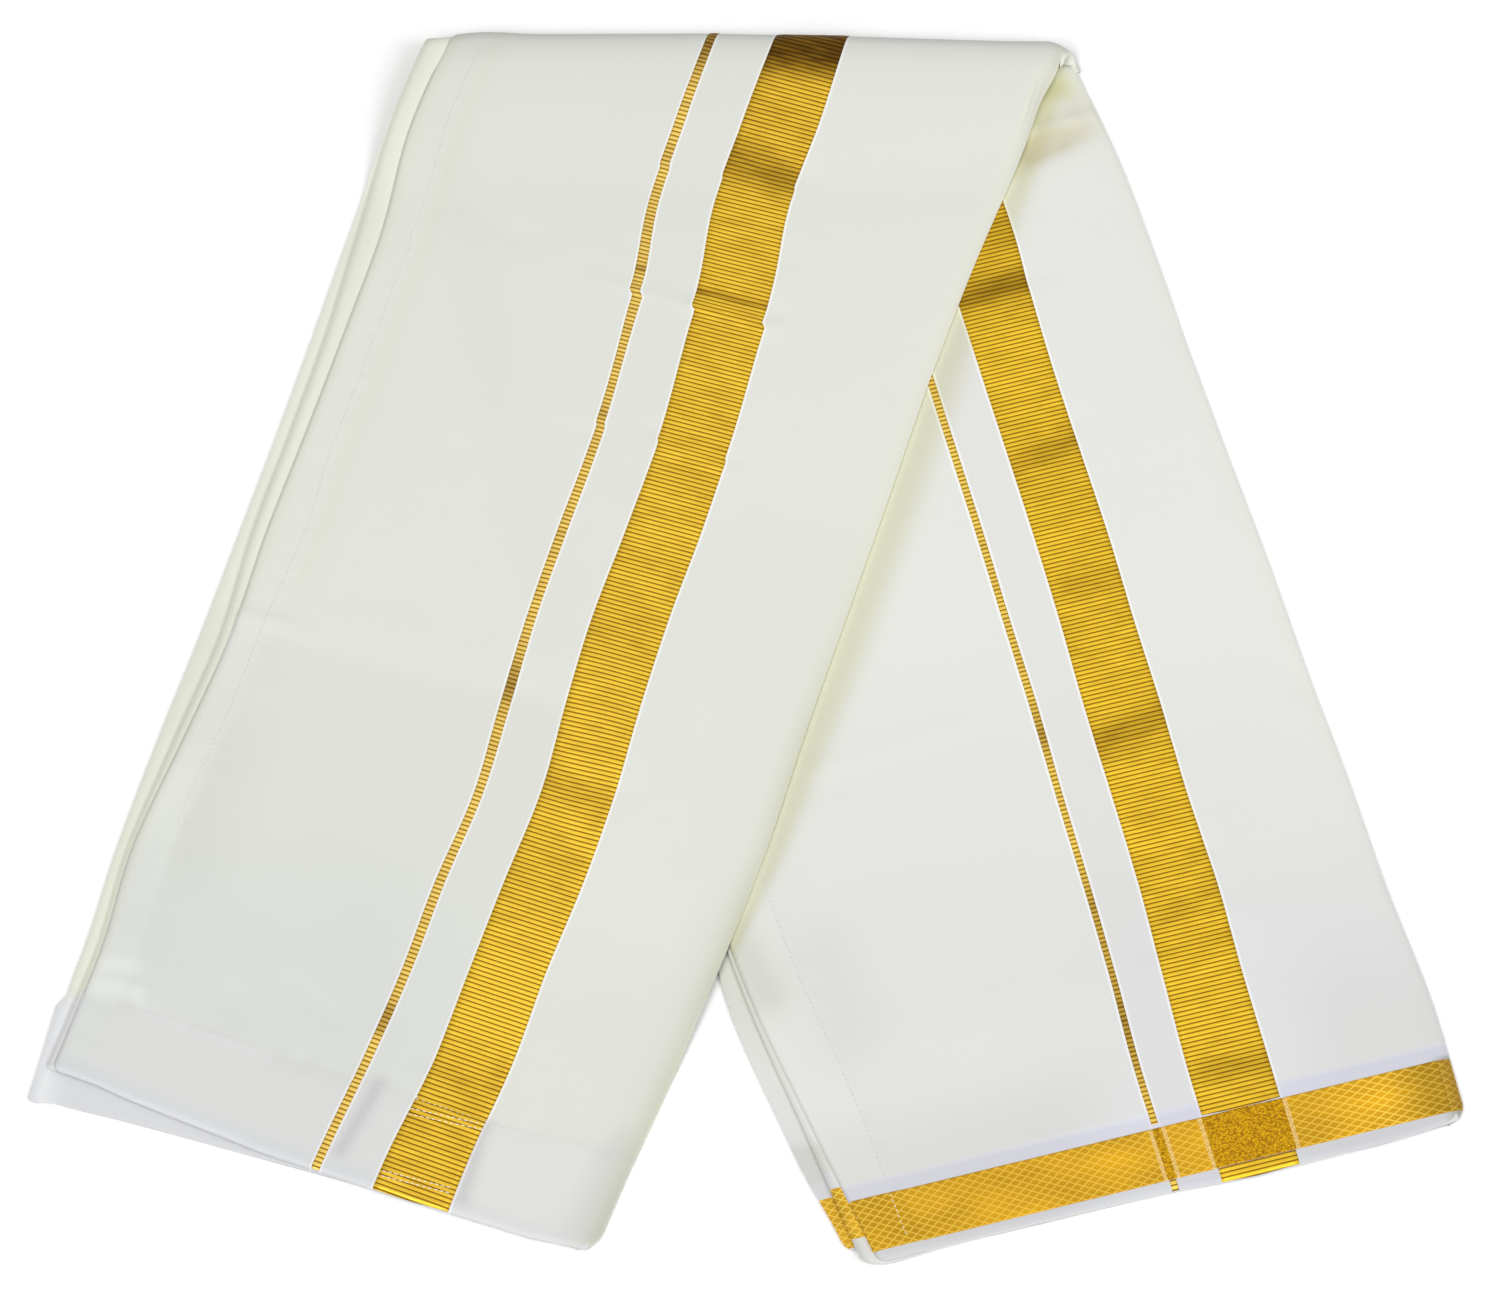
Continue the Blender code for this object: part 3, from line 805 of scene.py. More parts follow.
class Nodes:
    """Short names for adding and linking nodes in one tree."""

    def __init__(self, tree):
        self.tree = tree

    def new(self, kind, **values):
        node = self.tree.nodes.new(kind)
        for name, value in values.items():
            setattr(node, name, value)
        return node

    def put(self, socket, value):
        if isinstance(value, bpy.types.NodeSocket):
            self.tree.links.new(value, socket)
        else:
            socket.default_value = value

    def math(self, operation, *values, clamp=False):
        node = self.new("ShaderNodeMath", operation=operation, use_clamp=clamp)
        for socket, value in zip(node.inputs, values):
            self.put(socket, value)
        return node.outputs[0]

    def plus(self, *values, **options):
        return self.math("ADD", *values, **options)

    def minus(self, *values, **options):
        return self.math("SUBTRACT", *values, **options)

    def times(self, *values, **options):
        return self.math("MULTIPLY", *values, **options)

    def over(self, *values, **options):
        return self.math("DIVIDE", *values, **options)

    def larger(self, *values):
        return self.math("MAXIMUM", *values)

    def smaller(self, *values):
        return self.math("MINIMUM", *values)

    def mix(self, share, first, second, blend="MIX"):
        node = self.new("ShaderNodeMix", data_type="RGBA", blend_type=blend)
        self.put(node.inputs["Factor"], share)
        self.put(node.inputs[6], first)
        self.put(node.inputs[7], second)
        return node.outputs[2]

    def group(self, tree, **values):
        node = self.new("ShaderNodeGroup", node_tree=tree)
        for name, value in values.items():
            self.put(node.inputs[name.replace("_", " ")], value)
        return node.outputs

    def noise(self, vector, scale, detail=2.0):
        node = self.new("ShaderNodeTexNoise")
        self.put(node.inputs["Vector"], vector)
        node.inputs["Scale"].default_value = scale
        node.inputs["Detail"].default_value = detail
        return node.outputs[0]

    def scaled(self, vector, x, y):
        node = self.new("ShaderNodeMapping")
        self.put(node.inputs["Vector"], vector)
        node.inputs["Scale"].default_value = (x, y, 1.0)
        return node.outputs[0]


def new_group(name, inputs, outputs):
    """An empty node group with named inputs (name: kind, value) and outputs (name: kind)."""
    tree = bpy.data.node_groups.new(name, "ShaderNodeTree")
    for label, (kind, value) in inputs.items():
        socket = tree.interface.new_socket(label, in_out="INPUT", socket_type=kind)
        if value is not None:
            socket.default_value = value
    for label, kind in outputs.items():
        tree.interface.new_socket(label, in_out="OUTPUT", socket_type=kind)
    nodes = Nodes(tree)
    return tree, nodes, nodes.new("NodeGroupInput").outputs, nodes.new("NodeGroupOutput").inputs


# %% Group: a soft-edged band between two values
FLOAT, VECTOR, COLOUR = "NodeSocketFloat", "NodeSocketVector", "NodeSocketColor"

band_group, nodes, given, result = new_group(
    "band_between",
    {"Value": (FLOAT, 0.0), "From": (FLOAT, 0.0), "To": (FLOAT, 1.0), "Soft": (FLOAT, 0.2)},
    {"Mask": FLOAT})
rise = nodes.over(nodes.minus(given["Value"], given["From"]), given["Soft"])
fall = nodes.over(nodes.minus(given["To"], given["Value"]), given["Soft"])
lower = nodes.smaller(nodes.plus(rise, 0.5), nodes.plus(fall, 0.5))
nodes.put(result["Mask"], nodes.larger(nodes.smaller(lower, 1.0), 0.0))

# %% Group: plain cotton weave
weave_group, nodes, given, result = new_group(
    "cotton_weave",
    {"Cloth": (VECTOR, None), "Thread": (FLOAT, 0.45)},
    {"Height": FLOAT, "Colour": FLOAT})
parts = nodes.new("ShaderNodeSeparateXYZ")
nodes.put(parts.inputs[0], given["Cloth"])
turns = [nodes.times(nodes.over(axis, given["Thread"]), math.pi) for axis in parts.outputs[:2]]
over_under = nodes.times(nodes.math("SINE", turns[0]), nodes.math("SINE", turns[1]))
streaks = nodes.noise(nodes.scaled(given["Cloth"], 0.02, 1.1), 1.0, 3.0)
warps = nodes.noise(nodes.scaled(given["Cloth"], 1.3, 0.015), 1.0, 3.0)
clouds = nodes.noise(nodes.scaled(given["Cloth"], 0.012, 0.012), 1.0, 2.0)
uneven = nodes.plus(nodes.times(streaks, 0.35), nodes.times(warps, 0.25))
uneven = nodes.plus(uneven, nodes.times(clouds, 0.4))
nodes.put(result["Height"], nodes.plus(nodes.times(over_under, 0.5), uneven))
nodes.put(result["Colour"], uneven)

# %% Group: a row of round zari threads
threads_group, nodes, given, result = new_group(
    "zari_threads",
    {"Along": (FLOAT, 0.0), "Across": (FLOAT, 0.0),
     "Pitch": (FLOAT, RIB_PITCH), "Width": (FLOAT, 0.55)},
    {"Crest": FLOAT, "Glint": FLOAT})
phase = nodes.times(nodes.over(given["Along"], given["Pitch"]), math.pi)
crest = nodes.math("ABSOLUTE", nodes.math("SINE", phase))
nodes.put(result["Crest"], nodes.math("POWER", crest, given["Width"]))
place = nodes.new("ShaderNodeCombineXYZ")
nodes.put(place.inputs[0], nodes.times(given["Across"], 0.9))
nodes.put(place.inputs[1], nodes.times(given["Along"], 2.2))
nodes.put(result["Glint"], nodes.noise(place.outputs[0], 1.0, 3.0))
print("node groups:", [group.name for group in bpy.data.node_groups])

# %% [markdown]
# The cotton is matt with a faint sheen, and a bright white cord runs on either side of each border.
# On the back leg the gold end band runs across the cloth, with a cooler strip above it and a plain
# white tail below. Where a border crosses the band, its gold threads crowd into small glints.

# %% Cotton
GOLD_LIGHT = (1.0, 0.66, 0.055, 1.0)
GOLD_MID = (0.80, 0.45, 0.010, 1.0)
# the painted shade in the gaps between the wide border's ribs
GOLD_DARK = (0.22, 0.11, 0.001, 1.0)
LATTICE_U, LATTICE_V = 7.2, 4.0
BESIDE_CROSSING, SPECKLED = 0.6, 2.2
CORD = 1.2


def cloth_space(nodes):
    """The UV map in mm, and its U and V."""
    uv = nodes.new("ShaderNodeUVMap", uv_map="cloth_mm").outputs[0]
    parts = nodes.new("ShaderNodeSeparateXYZ")
    nodes.put(parts.inputs[0], uv)
    return uv, parts.outputs[0], parts.outputs[1]


def tone_of(nodes):
    """The tone stored at the piece's points."""
    return nodes.new("ShaderNodeAttribute", attribute_name="tone").outputs["Color"]


def new_material(name, **values):
    """A material, its nodes, and the sockets of its Principled shader, some with these values."""
    material = bpy.data.materials.new(name)
    material.use_nodes = True
    shader = material.node_tree.nodes["Principled BSDF"].inputs
    for label, value in values.items():
        shader[label.replace("_", " ")].default_value = value
    return material, Nodes(material.node_tree), shader


def bump(nodes, height, strength, distance):
    """A normal from a height between 0 and 1, which stands for a distance in mm."""
    node = nodes.new("ShaderNodeBump")
    nodes.put(node.inputs["Height"], height)
    node.inputs["Strength"].default_value = strength
    node.inputs["Distance"].default_value = distance * MM
    return node.outputs[0]


def lattice(nodes, u, v):
    """Bright crossing lines of the end band: 1 on a line, 0 inside a diamond."""
    lines = []
    for sign in (1.0, -1.0):
        turn = nodes.plus(nodes.over(u, LATTICE_U), nodes.times(nodes.over(v, LATTICE_V), sign))
        wave = nodes.math("ABSOLUTE", nodes.math("SINE", nodes.times(turn, math.pi)))
        lines.append(nodes.minus(1.15, nodes.times(wave, 2.6), clamp=True))
    return nodes.larger(lines[0], lines[1])


band_weave, nodes, given, result = new_group(
    "end_band_weave", {"Cloth": (VECTOR, None)}, {"Colour": COLOUR, "Height": FLOAT})
parts = nodes.new("ShaderNodeSeparateXYZ")
nodes.put(parts.inputs[0], given["Cloth"])
u, v = parts.outputs[0], parts.outputs[1]
lines = lattice(nodes, u, v)
fine = nodes.group(threads_group, Along=v, Across=u, Pitch=0.55, Width=1.0)
# patches of darker and lighter gold
patchy = nodes.noise(nodes.scaled(given["Cloth"], 0.022, 0.05), 1.0, 2.0)
bright = nodes.times(nodes.minus(patchy, 0.25), 2.0, clamp=True)
plain = nodes.mix(bright, (0.44, 0.225, 0.002, 1.0), (0.80, 0.43, 0.008, 1.0))
plain = nodes.mix(nodes.times(fine["Crest"], 0.22), plain, GOLD_LIGHT)
# the lattice lines are fainter over the middle of the band
middle_of_band = nodes.group(band_group, Value=u, From=50.0, To=276.0, Soft=36.0)
clear = nodes.minus(0.9, nodes.times(middle_of_band["Mask"], 0.3))
gold = nodes.mix(nodes.times(lines, clear), plain, (1.0, 0.72, 0.11, 1.0))
cells = nodes.new("ShaderNodeTexVoronoi", feature="F1")
cells.inputs["Scale"].default_value = 1.0
nodes.put(cells.inputs["Vector"], nodes.scaled(given["Cloth"], 0.85, 1.05))
spark = nodes.minus(1.0, nodes.times(cells.outputs["Distance"], 1.35), clamp=True)
sparkle = nodes.mix(spark, (0.38, 0.18, 0.0, 1.0), (0.95, 0.575, 0.007, 1.0))
speckle = nodes.times(nodes.minus(nodes.noise(given["Cloth"], 1.4, 2.0), 0.4), 5.0, clamp=True)
pale = nodes.mix(speckle, gold, (0.86, 0.66, 0.36, 1.0))
crossed = 0.0
paled = 0.0
for left, right in ((BACK_MARKS[1], BACK_MARKS[2]), (BACK_MARKS[3], BACK_MARKS[4])):
    left, right = left - BESIDE_CROSSING, right + BESIDE_CROSSING
    over = nodes.group(band_group, Value=u, From=left, To=right)
    around = nodes.group(band_group, Value=u, From=left - SPECKLED, To=right + SPECKLED)
    crossed = nodes.larger(over["Mask"], crossed)
    paled = nodes.larger(around["Mask"], paled)
colour = nodes.mix(paled, gold, pale)
nodes.put(result["Colour"], nodes.mix(crossed, colour, sparkle))
nodes.put(result["Height"], nodes.plus(lines, nodes.times(spark, crossed)))


def cotton_material(name, colour, marks, end=None):
    """Cotton with white cords beside each border, and the gold end band where end gives its V."""
    material, nodes, shader = new_material(
        name, Roughness=0.88, Specular_IOR_Level=0.25, Sheen_Weight=0.12, Sheen_Roughness=0.5)
    uv, u, v = cloth_space(nodes)
    weave = nodes.group(weave_group, Cloth=uv)
    shade = nodes.plus(nodes.times(weave["Colour"], 0.05), 0.975)
    grey = nodes.new("ShaderNodeCombineColor")
    for socket in grey.inputs:
        nodes.put(socket, shade)
    colour = nodes.mix(1.0, (*colour, 1.0), grey.outputs[0], "MULTIPLY")
    cords = 0.0
    for mark, step in zip(marks[1:], (-CORD, CORD, -CORD, CORD)):
        cord = nodes.group(band_group, Value=u, From=mark + min(step, 0.0), To=mark + max(step, 0.0))
        cords = nodes.larger(cord["Mask"], cords)
    if end:
        tail = nodes.group(band_group, Value=v, From=-1000.0, To=end - BAND_TAIL)
        cords = nodes.times(cords, tail["Mask"])
    colour = nodes.mix(nodes.times(cords, 0.4), colour, WHITE)
    if end:
        top = end - BAND_TOP
        strip = nodes.group(band_group, Value=v, From=top - BAND_EDGE, To=top, Soft=2.0)
        colour = nodes.mix(nodes.times(strip["Mask"], 0.5), colour, (0.75, 0.76, 0.80, 1.0))
        band = nodes.group(band_group, Value=v, From=top, To=end - BAND_TAIL)
        colour = nodes.mix(band["Mask"], colour, nodes.group(band_weave, Cloth=uv)["Colour"])
    nodes.put(shader["Base Color"], nodes.mix(1.0, colour, tone_of(nodes), "MULTIPLY"))
    nodes.put(shader["Normal"], bump(nodes, weave["Height"], 0.25, 0.12))
    return material


CREAM = (0.695, 0.705, 0.655)
COLD_WHITE = (0.70, 0.715, 0.735)
front_cotton = cotton_material("front_cotton", CREAM, FRONT_MARKS)
back_cotton = cotton_material("back_cotton", CREAM, BACK_MARKS, BACK_END)
hem_cotton = cotton_material("hem_cotton", COLD_WHITE, FRONT_MARKS)

# %% [markdown]
# Zari is a gold-coloured thread. In the wide border it forms raised ribs with dark gaps, in the
# narrow border short rungs with white between them. It is part metal and part thread, so the
# metallic value stays in the middle, and the colour follows the rib: bright on its crest, with
# painted glints along the thread; brown in the gap, a painted shade of the groove; and darker
# where a fold turns it from the light, painted shade again.

# %% Zari


def zari_material(name, gap_shade, bright, share_of_gap):
    """Gold threads by the pitch, with painted glints, over a painted groove shade in the gaps."""
    material, nodes, shader = new_material(name, Specular_IOR_Level=0.1)
    _, u, v = cloth_space(nodes)
    threads = nodes.group(threads_group, Along=v, Across=u, Pitch=RIB_PITCH, Width=0.8)
    light = nodes.plus(nodes.times(threads["Glint"], 1.2), -0.1, clamp=True)
    gold = nodes.mix(light, GOLD_MID, bright)
    on_thread = nodes.over(nodes.minus(threads["Crest"], share_of_gap), 0.35, clamp=True)
    colour = nodes.mix(on_thread, gap_shade, gold)
    nodes.put(shader["Base Color"], nodes.mix(1.0, colour, tone_of(nodes), "MULTIPLY"))
    nodes.put(shader["Metallic"], nodes.times(on_thread, 0.35))
    nodes.put(shader["Roughness"], nodes.minus(0.62, nodes.times(on_thread, 0.2)))
    nodes.put(shader["Normal"], bump(nodes, threads["Glint"], 0.3, 0.15))
    return material


def band_material(name):
    """End band: crossing bright lines over gold diamonds, crowded glints where a border crosses."""
    material, nodes, shader = new_material(
        name, Metallic=0.3, Roughness=0.45, Specular_IOR_Level=0.2)
    uv = cloth_space(nodes)[0]
    weave = nodes.group(band_weave, Cloth=uv)
    nodes.put(shader["Base Color"], nodes.mix(1.0, weave["Colour"], tone_of(nodes), "MULTIPLY"))
    nodes.put(shader["Normal"], bump(nodes, weave["Height"], 0.4, 0.25))
    return material


wide_zari = zari_material("wide_zari", GOLD_DARK, (1.0, 0.695, 0.06, 1.0), 0.38)
ladder_zari = zari_material("ladder_zari", (0.26, 0.14, 0.005, 1.0), (1.0, 0.78, 0.20, 1.0), 0.42)
band_zari = band_material("band_zari")

# %% [markdown]
# The hems are sewn with a grey thread, which hardly shows on the cotton. Where a seam crosses the
# gold, a pale thread shows as light dashes.

# %% Sewing thread


def thread(name, dark, light):
    """Matt fuzzy thread between two colours."""
    material, nodes, shader = new_material(name, Roughness=0.7)
    position = nodes.new("ShaderNodeTexCoord").outputs["Object"]
    fuzz = nodes.noise(position, 2500.0, 2.0)
    nodes.put(shader["Base Color"], nodes.mix(fuzz, dark, light))
    nodes.put(shader["Normal"], bump(nodes, fuzz, 0.3, 0.05))
    return material


sewing_thread = thread("sewing_thread", (0.62, 0.63, 0.60, 1.0), (0.74, 0.75, 0.71, 1.0))
pale_thread = thread("pale_thread", (0.80, 0.78, 0.70, 1.0), (0.95, 0.93, 0.88, 1.0))

# %% [markdown]
# The top layer of each leg is one sheet on a grid: the section number runs one way and the
# distance across the other, from the hemmed left edge to the rolled right edge. The roll is a
# quarter of an ellipse from above and one from below.

# %% Top layers
CLOTH = 0.7
EDGE_ROUND, EDGE_FALL = 3.0, 1.3
LEFT_CORNER, RIGHT_CORNER = 5.0, 9.0
TOP_FLARE, CAP_DEPTH, SIDE_INSET = 4.0, 5.8, 0.8
FOOT_GAP = 0.3
FLAT_COLUMNS, ROLL_COLUMNS = 112, 14
# painted light on the rolls' undersides, and a painted yellow bounce on the front leg's roll
FRONT_ROLL_PAINTED_LIGHT, BACK_ROLL_PAINTED_LIGHT = 0.3, 0.1
ROLL_PAINTED_BOUNCE = np.array([0.01, 0.01, 0.06])


def hem_share(leg, x, y):
    """1 over a turned hem and 0 elsewhere, with a short slope between."""
    u = leg.u_at(x, y)
    side = 1.0 - smooth((u - leg.marks[0]) / 3.0)
    if leg is back:
        return side
    side = side * smooth((FOLD_Y - y - 4.0) / 20.0)
    return np.maximum(side, smooth(below_end_hem_line(x, y) / 3.0))


def shown_height(leg, x, y):
    """Height of the shown layer's upper side, which rises over a turned hem."""
    return SHOWN + HEM_RISE * hem_share(leg, x, y)


def edge_fall(distance):
    """How far the upper side drops at a distance from the cloth's edge."""
    return EDGE_FALL * (1.0 - np.clip(distance / EDGE_ROUND, 0.0, 1.0)) ** 2


def shown_profile(edges):
    """Distance across of a top layer's points for every section, and the angle round its roll."""
    width = width_of(edges) - corner_inset(edges, RIGHT_CORNER) - SIDE_INSET
    start = corner_inset(edges, LEFT_CORNER)
    flat = start + np.linspace(0.0, 1.0, FLAT_COLUMNS)[None, :] * (width - ROLL_ABOVE - start)
    angle = np.linspace(0.0, ROLL_END, ROLL_COLUMNS + 1)[None, 1:]
    reach = np.where(angle <= 0.5 * math.pi, ROLL_ABOVE, ROLL_BELOW)
    rolled = width - reach * (1.0 - np.sin(angle))
    return np.concatenate([flat, rolled], axis=1), angle


def roll_foot(x, y):
    """Height of the front roll's foot: down on the back leg, also where it closes the fold's end."""
    down = np.maximum(front_underside(x, y) - SHOWN + FOOT_GAP, 0.0)
    turn = np.clip((y - FOLD_Y) / FOLD_RADIUS, 0.0, math.pi)
    return np.where(y > FOLD_Y, -FOLD_HOLLOW - CAP_DEPTH * np.cos(turn), -down)


def top_layer(leg, edges, tone):
    """Points, UV and tone of a top layer: its flat columns first, then those round the roll."""
    across, angle = shown_profile(edges)
    x, y = spread(edges, across)
    y = dropped(edges, x, y, leg.drop)
    height = shown_height(leg, x, y) - edge_fall(np.minimum(across - across[:, :1], from_end(edges)))
    rolled, last_flat = np.s_[:, FLAT_COLUMNS:], np.s_[:, FLAT_COLUMNS - 1:FLAT_COLUMNS]
    foot = roll_foot(x[rolled], y[rolled]) if leg is front else 0.0
    inwards = (1.0 - np.cos(angle)) / (1.0 - math.cos(ROLL_END))
    height[rolled] = height[last_flat] - (height[last_flat] - foot) * inwards
    under = smooth((angle - 0.5 * math.pi) / (ROLL_END - 0.5 * math.pi))
    x[rolled] -= under * fold_slide(y[rolled])
    u, v = leg.u_at(x, y), leg.v_at(x, y)
    u[rolled] = u[last_flat] + ROLL_ABOVE * 0.9 * angle
    shade = tone(x, y)
    # painted light where the roll turns away from the lamps, with a painted yellow bounce on the front
    # leg
    lighter = FRONT_ROLL_PAINTED_LIGHT if leg is front else BACK_ROLL_PAINTED_LIGHT
    turned = smooth((angle - 1.1) / 0.6)[..., None]
    yellow = smooth(angle)[..., None] * ROLL_PAINTED_BOUNCE * (leg is front)
    shade[rolled] *= (1.0 + lighter * turned) * (1.0 - yellow)
    return leg.lay(x, y, height), (u, v), shade


front_edges = with_fold(sections(front, 246, 12), 26, 3.0)
front_edges[:, 2] += TOP_FLARE * smooth((front_edges[:, 3] - FOLD_Y + 30.0) / 30.0)
front_top = add_cloth("front_top_layer", *top_layer(front, front_edges, front_tone),
                      front_cotton, "bordered_cotton", CLOTH, ["front_leg_panel"])
back_top = add_cloth("back_top_layer", *top_layer(back, sections(back, 236, 12), back_tone),
                     back_cotton, "bordered_cotton", CLOTH, ["back_leg_panel"])

# %% [markdown]
# Under the top layer lie three more. Two of them are joined by a fold at the left and the other
# two by a roll at the right, so one long sheet makes them all: it runs left along the table,
# turns back on itself, runs right, turns again and runs left to its own hemmed edge.

# %% Lower layers
LOW, THIRD, SECOND = 0.75, 1.85, 2.95
TURN = 0.5 * (THIRD - LOW)
FLAP_LENGTH = 46.0
RIGHT_IN = 6.0


def lower_profile(edges):
    """Distance across and height of the three lower layers, joined by two half circles."""
    low_out, second_out = edges[:, 4:5], edges[:, 5:6]
    run = np.concatenate([np.linspace(0.0, 0.15, 9), np.linspace(0.15, 1.0, 10)[1:]])[None, :]
    half_turn = np.linspace(0.0, math.pi, 7)[None, 1:-1]
    left_end, right_end = TURN - low_out, width_of(edges) - RIGHT_IN
    lowest = right_end + (left_end - right_end) * (1.0 - run[:, ::-1])
    left_turn = left_end - TURN * np.sin(half_turn)
    third = left_end + (right_end - left_end) * run
    right_turn = right_end + TURN * np.sin(half_turn)
    second = right_end + (-second_out - right_end) * (1.0 - run[:, ::-1])
    across = np.concatenate([lowest, left_turn, third, right_turn, second], axis=1)
    one = np.ones_like(run)
    turned = TURN * (1.0 - np.cos(half_turn))
    height = [LOW * one, LOW + turned, THIRD * one, THIRD + turned, SECOND * one]
    return across, np.repeat(np.concatenate(height, axis=1), len(edges), axis=0)


def lower_layers(leg, edges, tone, low_drop, flap, band_up):
    """Points, UV and tone of the lower layers.

    The low drop lets the two lowest down past the leg's end, and the flap moves them out to the
    left there. Band up gives how much further up the band lies on the second and the lower ones.
    """
    across, height = lower_profile(edges)
    x, y = spread(edges, across)
    low = height < SECOND - 0.4
    y = np.where(low, dropped(edges, x, y, low_drop), dropped(edges, x, y, leg.drop))
    at_left = np.clip(1.0 - across / 30.0, 0.0, 1.0)
    at_flap = smooth((FLAP_LENGTH - from_end(edges)) / 4.0) * at_left
    x = x - flap * at_flap * low + corner_inset(edges, LEFT_CORNER) * at_left
    u = leg.u_at(x, y)
    v = leg.v_at(x, y) + np.where(low, band_up[1], band_up[0])
    return leg.lay(x, y, height), (u, v), tone(x, y)


front_low = lower_layers(front, with_fold(sections(front, 160, 10), 16, 3.0),
                         lower_front_tone, FRONT_LOW_DROP, 3.6, (0.0, 0.0))
front_lower = add_cloth("front_lower_layers", *front_low, front_cotton, "plain_cotton", CLOTH,
                        ["front_hidden_layers"])
back_low = lower_layers(back, sections(back, 160, 10), lower_back_tone, BACK_LOW_DROP, 0.0, (9.5, 6.0))
back_lower = add_cloth("back_lower_layers", *back_low, back_cotton, "plain_cotton", CLOTH,
                       ["back_hidden_layers"])

# %% [markdown]
# A hem is the cloth's own edge turned under and sewn down, so it lies just beneath the top layer.
# Each is a narrow strip of the same grid, a little lower.

# %% Hems
HEM_DEPTH = 0.85
HEM_CLOTH = 0.5


def hem_piece(name, leg, x, y, height, u, v, replaced):
    """A strip of hem cloth with an even tone."""
    return add_cloth(name, leg.lay(x, y, height), (u, v), np.ones(x.shape + (3,)),
                     hem_cotton, "hem_cotton", HEM_CLOTH, replaced)


def hem_strip(name, leg, u_values, v_values, replaced):
    """A strip of the flat cloth, between U and V values, laid under the top layer."""
    u, v = np.meshgrid(u_values, v_values)
    x, y = leg.plan_at(u, v)
    height = shown_height(leg, x, y) - HEM_DEPTH
    return hem_piece(name, leg, x, y, height, u, v, replaced)


def end_hem_strip():
    """The turned-up lower end: rows of points from the leg's lower edge up to the hem line."""
    across = np.linspace(1.5, 268.0, 90)[None, :]
    x, _ = spread(sections(front, 240)[:1], across)
    low = front.end_y(x)
    rise = below_end_hem_line(x, low) * np.linspace(0.04, 0.98, 18)[:, None]
    x, y = x + 0.30 * rise, low + rise
    height = SHOWN + HEM_RISE - HEM_DEPTH + 0.0 * x
    return hem_piece("front_end_hem_cloth", front, x, y, height, front.u_at(x, y), front.v_at(x, y),
                     ["front_end_hem"])


front_side = hem_strip("front_side_hem_cloth", front, np.linspace(3.0, FRONT_SIDE_HEM, 8),
                       np.linspace(560.0, 30.0, 180), ["front_side_hem"])
back_side = hem_strip("back_side_hem_cloth", back, np.linspace(3.0, BACK_SIDE_HEM, 10),
                      np.linspace(BACK_END - 8.0, 60.0, 180), ["back_side_hem"])
front_end = end_hem_strip()

# %% [markdown]
# The zari ribs are real threads that stand up from the cotton, so they get a mesh of their own:
# a strip of the flat cloth, with six rows of points to a rib and the height of a round thread,
# |sin(pi V / pitch)| to a power below 1. It follows the same creases as the cotton below it.

# %% Zari borders
ROWS_PER_RIB = 6
RIB_HEIGHT, RIB_LIFT, RIB_ROUND = 0.28, 0.12, 0.7
RIB_CLOTH = 0.25
# Number of the border's left woven line, columns of points across it, and its material
WIDE, NARROW = (3, 12, wide_zari), (1, 5, ladder_zari)
# Painted shade where a fold turns each border from the light
PAINTED_FOLD_SHADE_WIDE_FRONT = [
    # y on the border, reach above, reach below, darkness, slant
    (338, 60, 13.5, 0.89, 0.2), (269, 13, 9, 0.42, -0.1), (191, 2.5, 2, 0.46, 0),
    (104, 3, 2.5, 0.12, 0), (-100, 9, 7, 0.14, -0.1), (-255, 14, 16, 0.16, 0),
    (-215, 40, 40, -0.12, 0), (-325, 40, 60, 0.1, 0), (300, 25, 25, 0.12, 0),
]
PAINTED_FOLD_SHADE_NARROW_FRONT = [
    (331, 60, 16, 0.72, 0), (264, 6, 4, 0.25, 0), (194, 3, 2, 0.4, 0),
    (104, 4, 3, 0.2, 0), (-53, 14, 12, 0.5, 0), (-241, 9, 9, 0.5, 0),
]
PAINTED_FOLD_SHADE_WIDE_BACK = [
    (240, 60, 30, 0.26, 0), (199, 8, 9, 0.46, 0.06), (-163, 7, 5, 0.14, 0.45),
    (99, 9, 7, 0.24, 0.15), (23, 7, 7, 0.13, 0.1),
    (-61, 7, 10, 0.38, 0.15), (-182, 6, 4, 0.08, 0), (-252, 8, 7, 0.2, 0),
    (-276, 3, 3, 0.2, 0),
]
PAINTED_FOLD_SHADE_NARROW_BACK = [
    (195, 40, 20, 0.3, 0), (-54, 14, 12, 0.45, 0), (-150, 14, 20, 0.3, 0),
    (-215, 40, 40, 0.45, 0),
]


def zari_tone(u, v, folds, blue):
    """Brightness along a border: random unevenness, and painted shade at each fold by exp(-((y - place)
    / reach)^2).
    """
    y = FOLD_Y - v / ALONG_STRETCH + 1.2 * soft_noise(u, 0.2 * v, 16.0, 31)
    dark = 0.05 * soft_noise(0.1 * u, v, 6.0, 32) + 0.10 * soft_noise(0.3 * u, v, 2.2, 33)
    dark += 0.04 * soft_noise(u, v, 25.0, 34)
    for place, above, below, darkness, slant in folds:
        past = y - place - slant * (u - u.mean())
        dark += darkness * np.exp(-(past / np.where(past > 0.0, above, below)) ** 2)
    tone = 1.045 - np.clip(dark, -0.12, 0.9)
    return np.stack([tone, tone ** 1.15, blue * tone ** 1.4], axis=-1)


def end_v(leg, u):
    """V at which the cloth's line U reaches the lower edge of the leg."""
    y = np.full_like(u, leg.rows[-1, 1])
    for _ in range(12):
        y = leg.end_y(leg.x_at(u, y))
    return leg.v_at(leg.x_at(u, y), y)


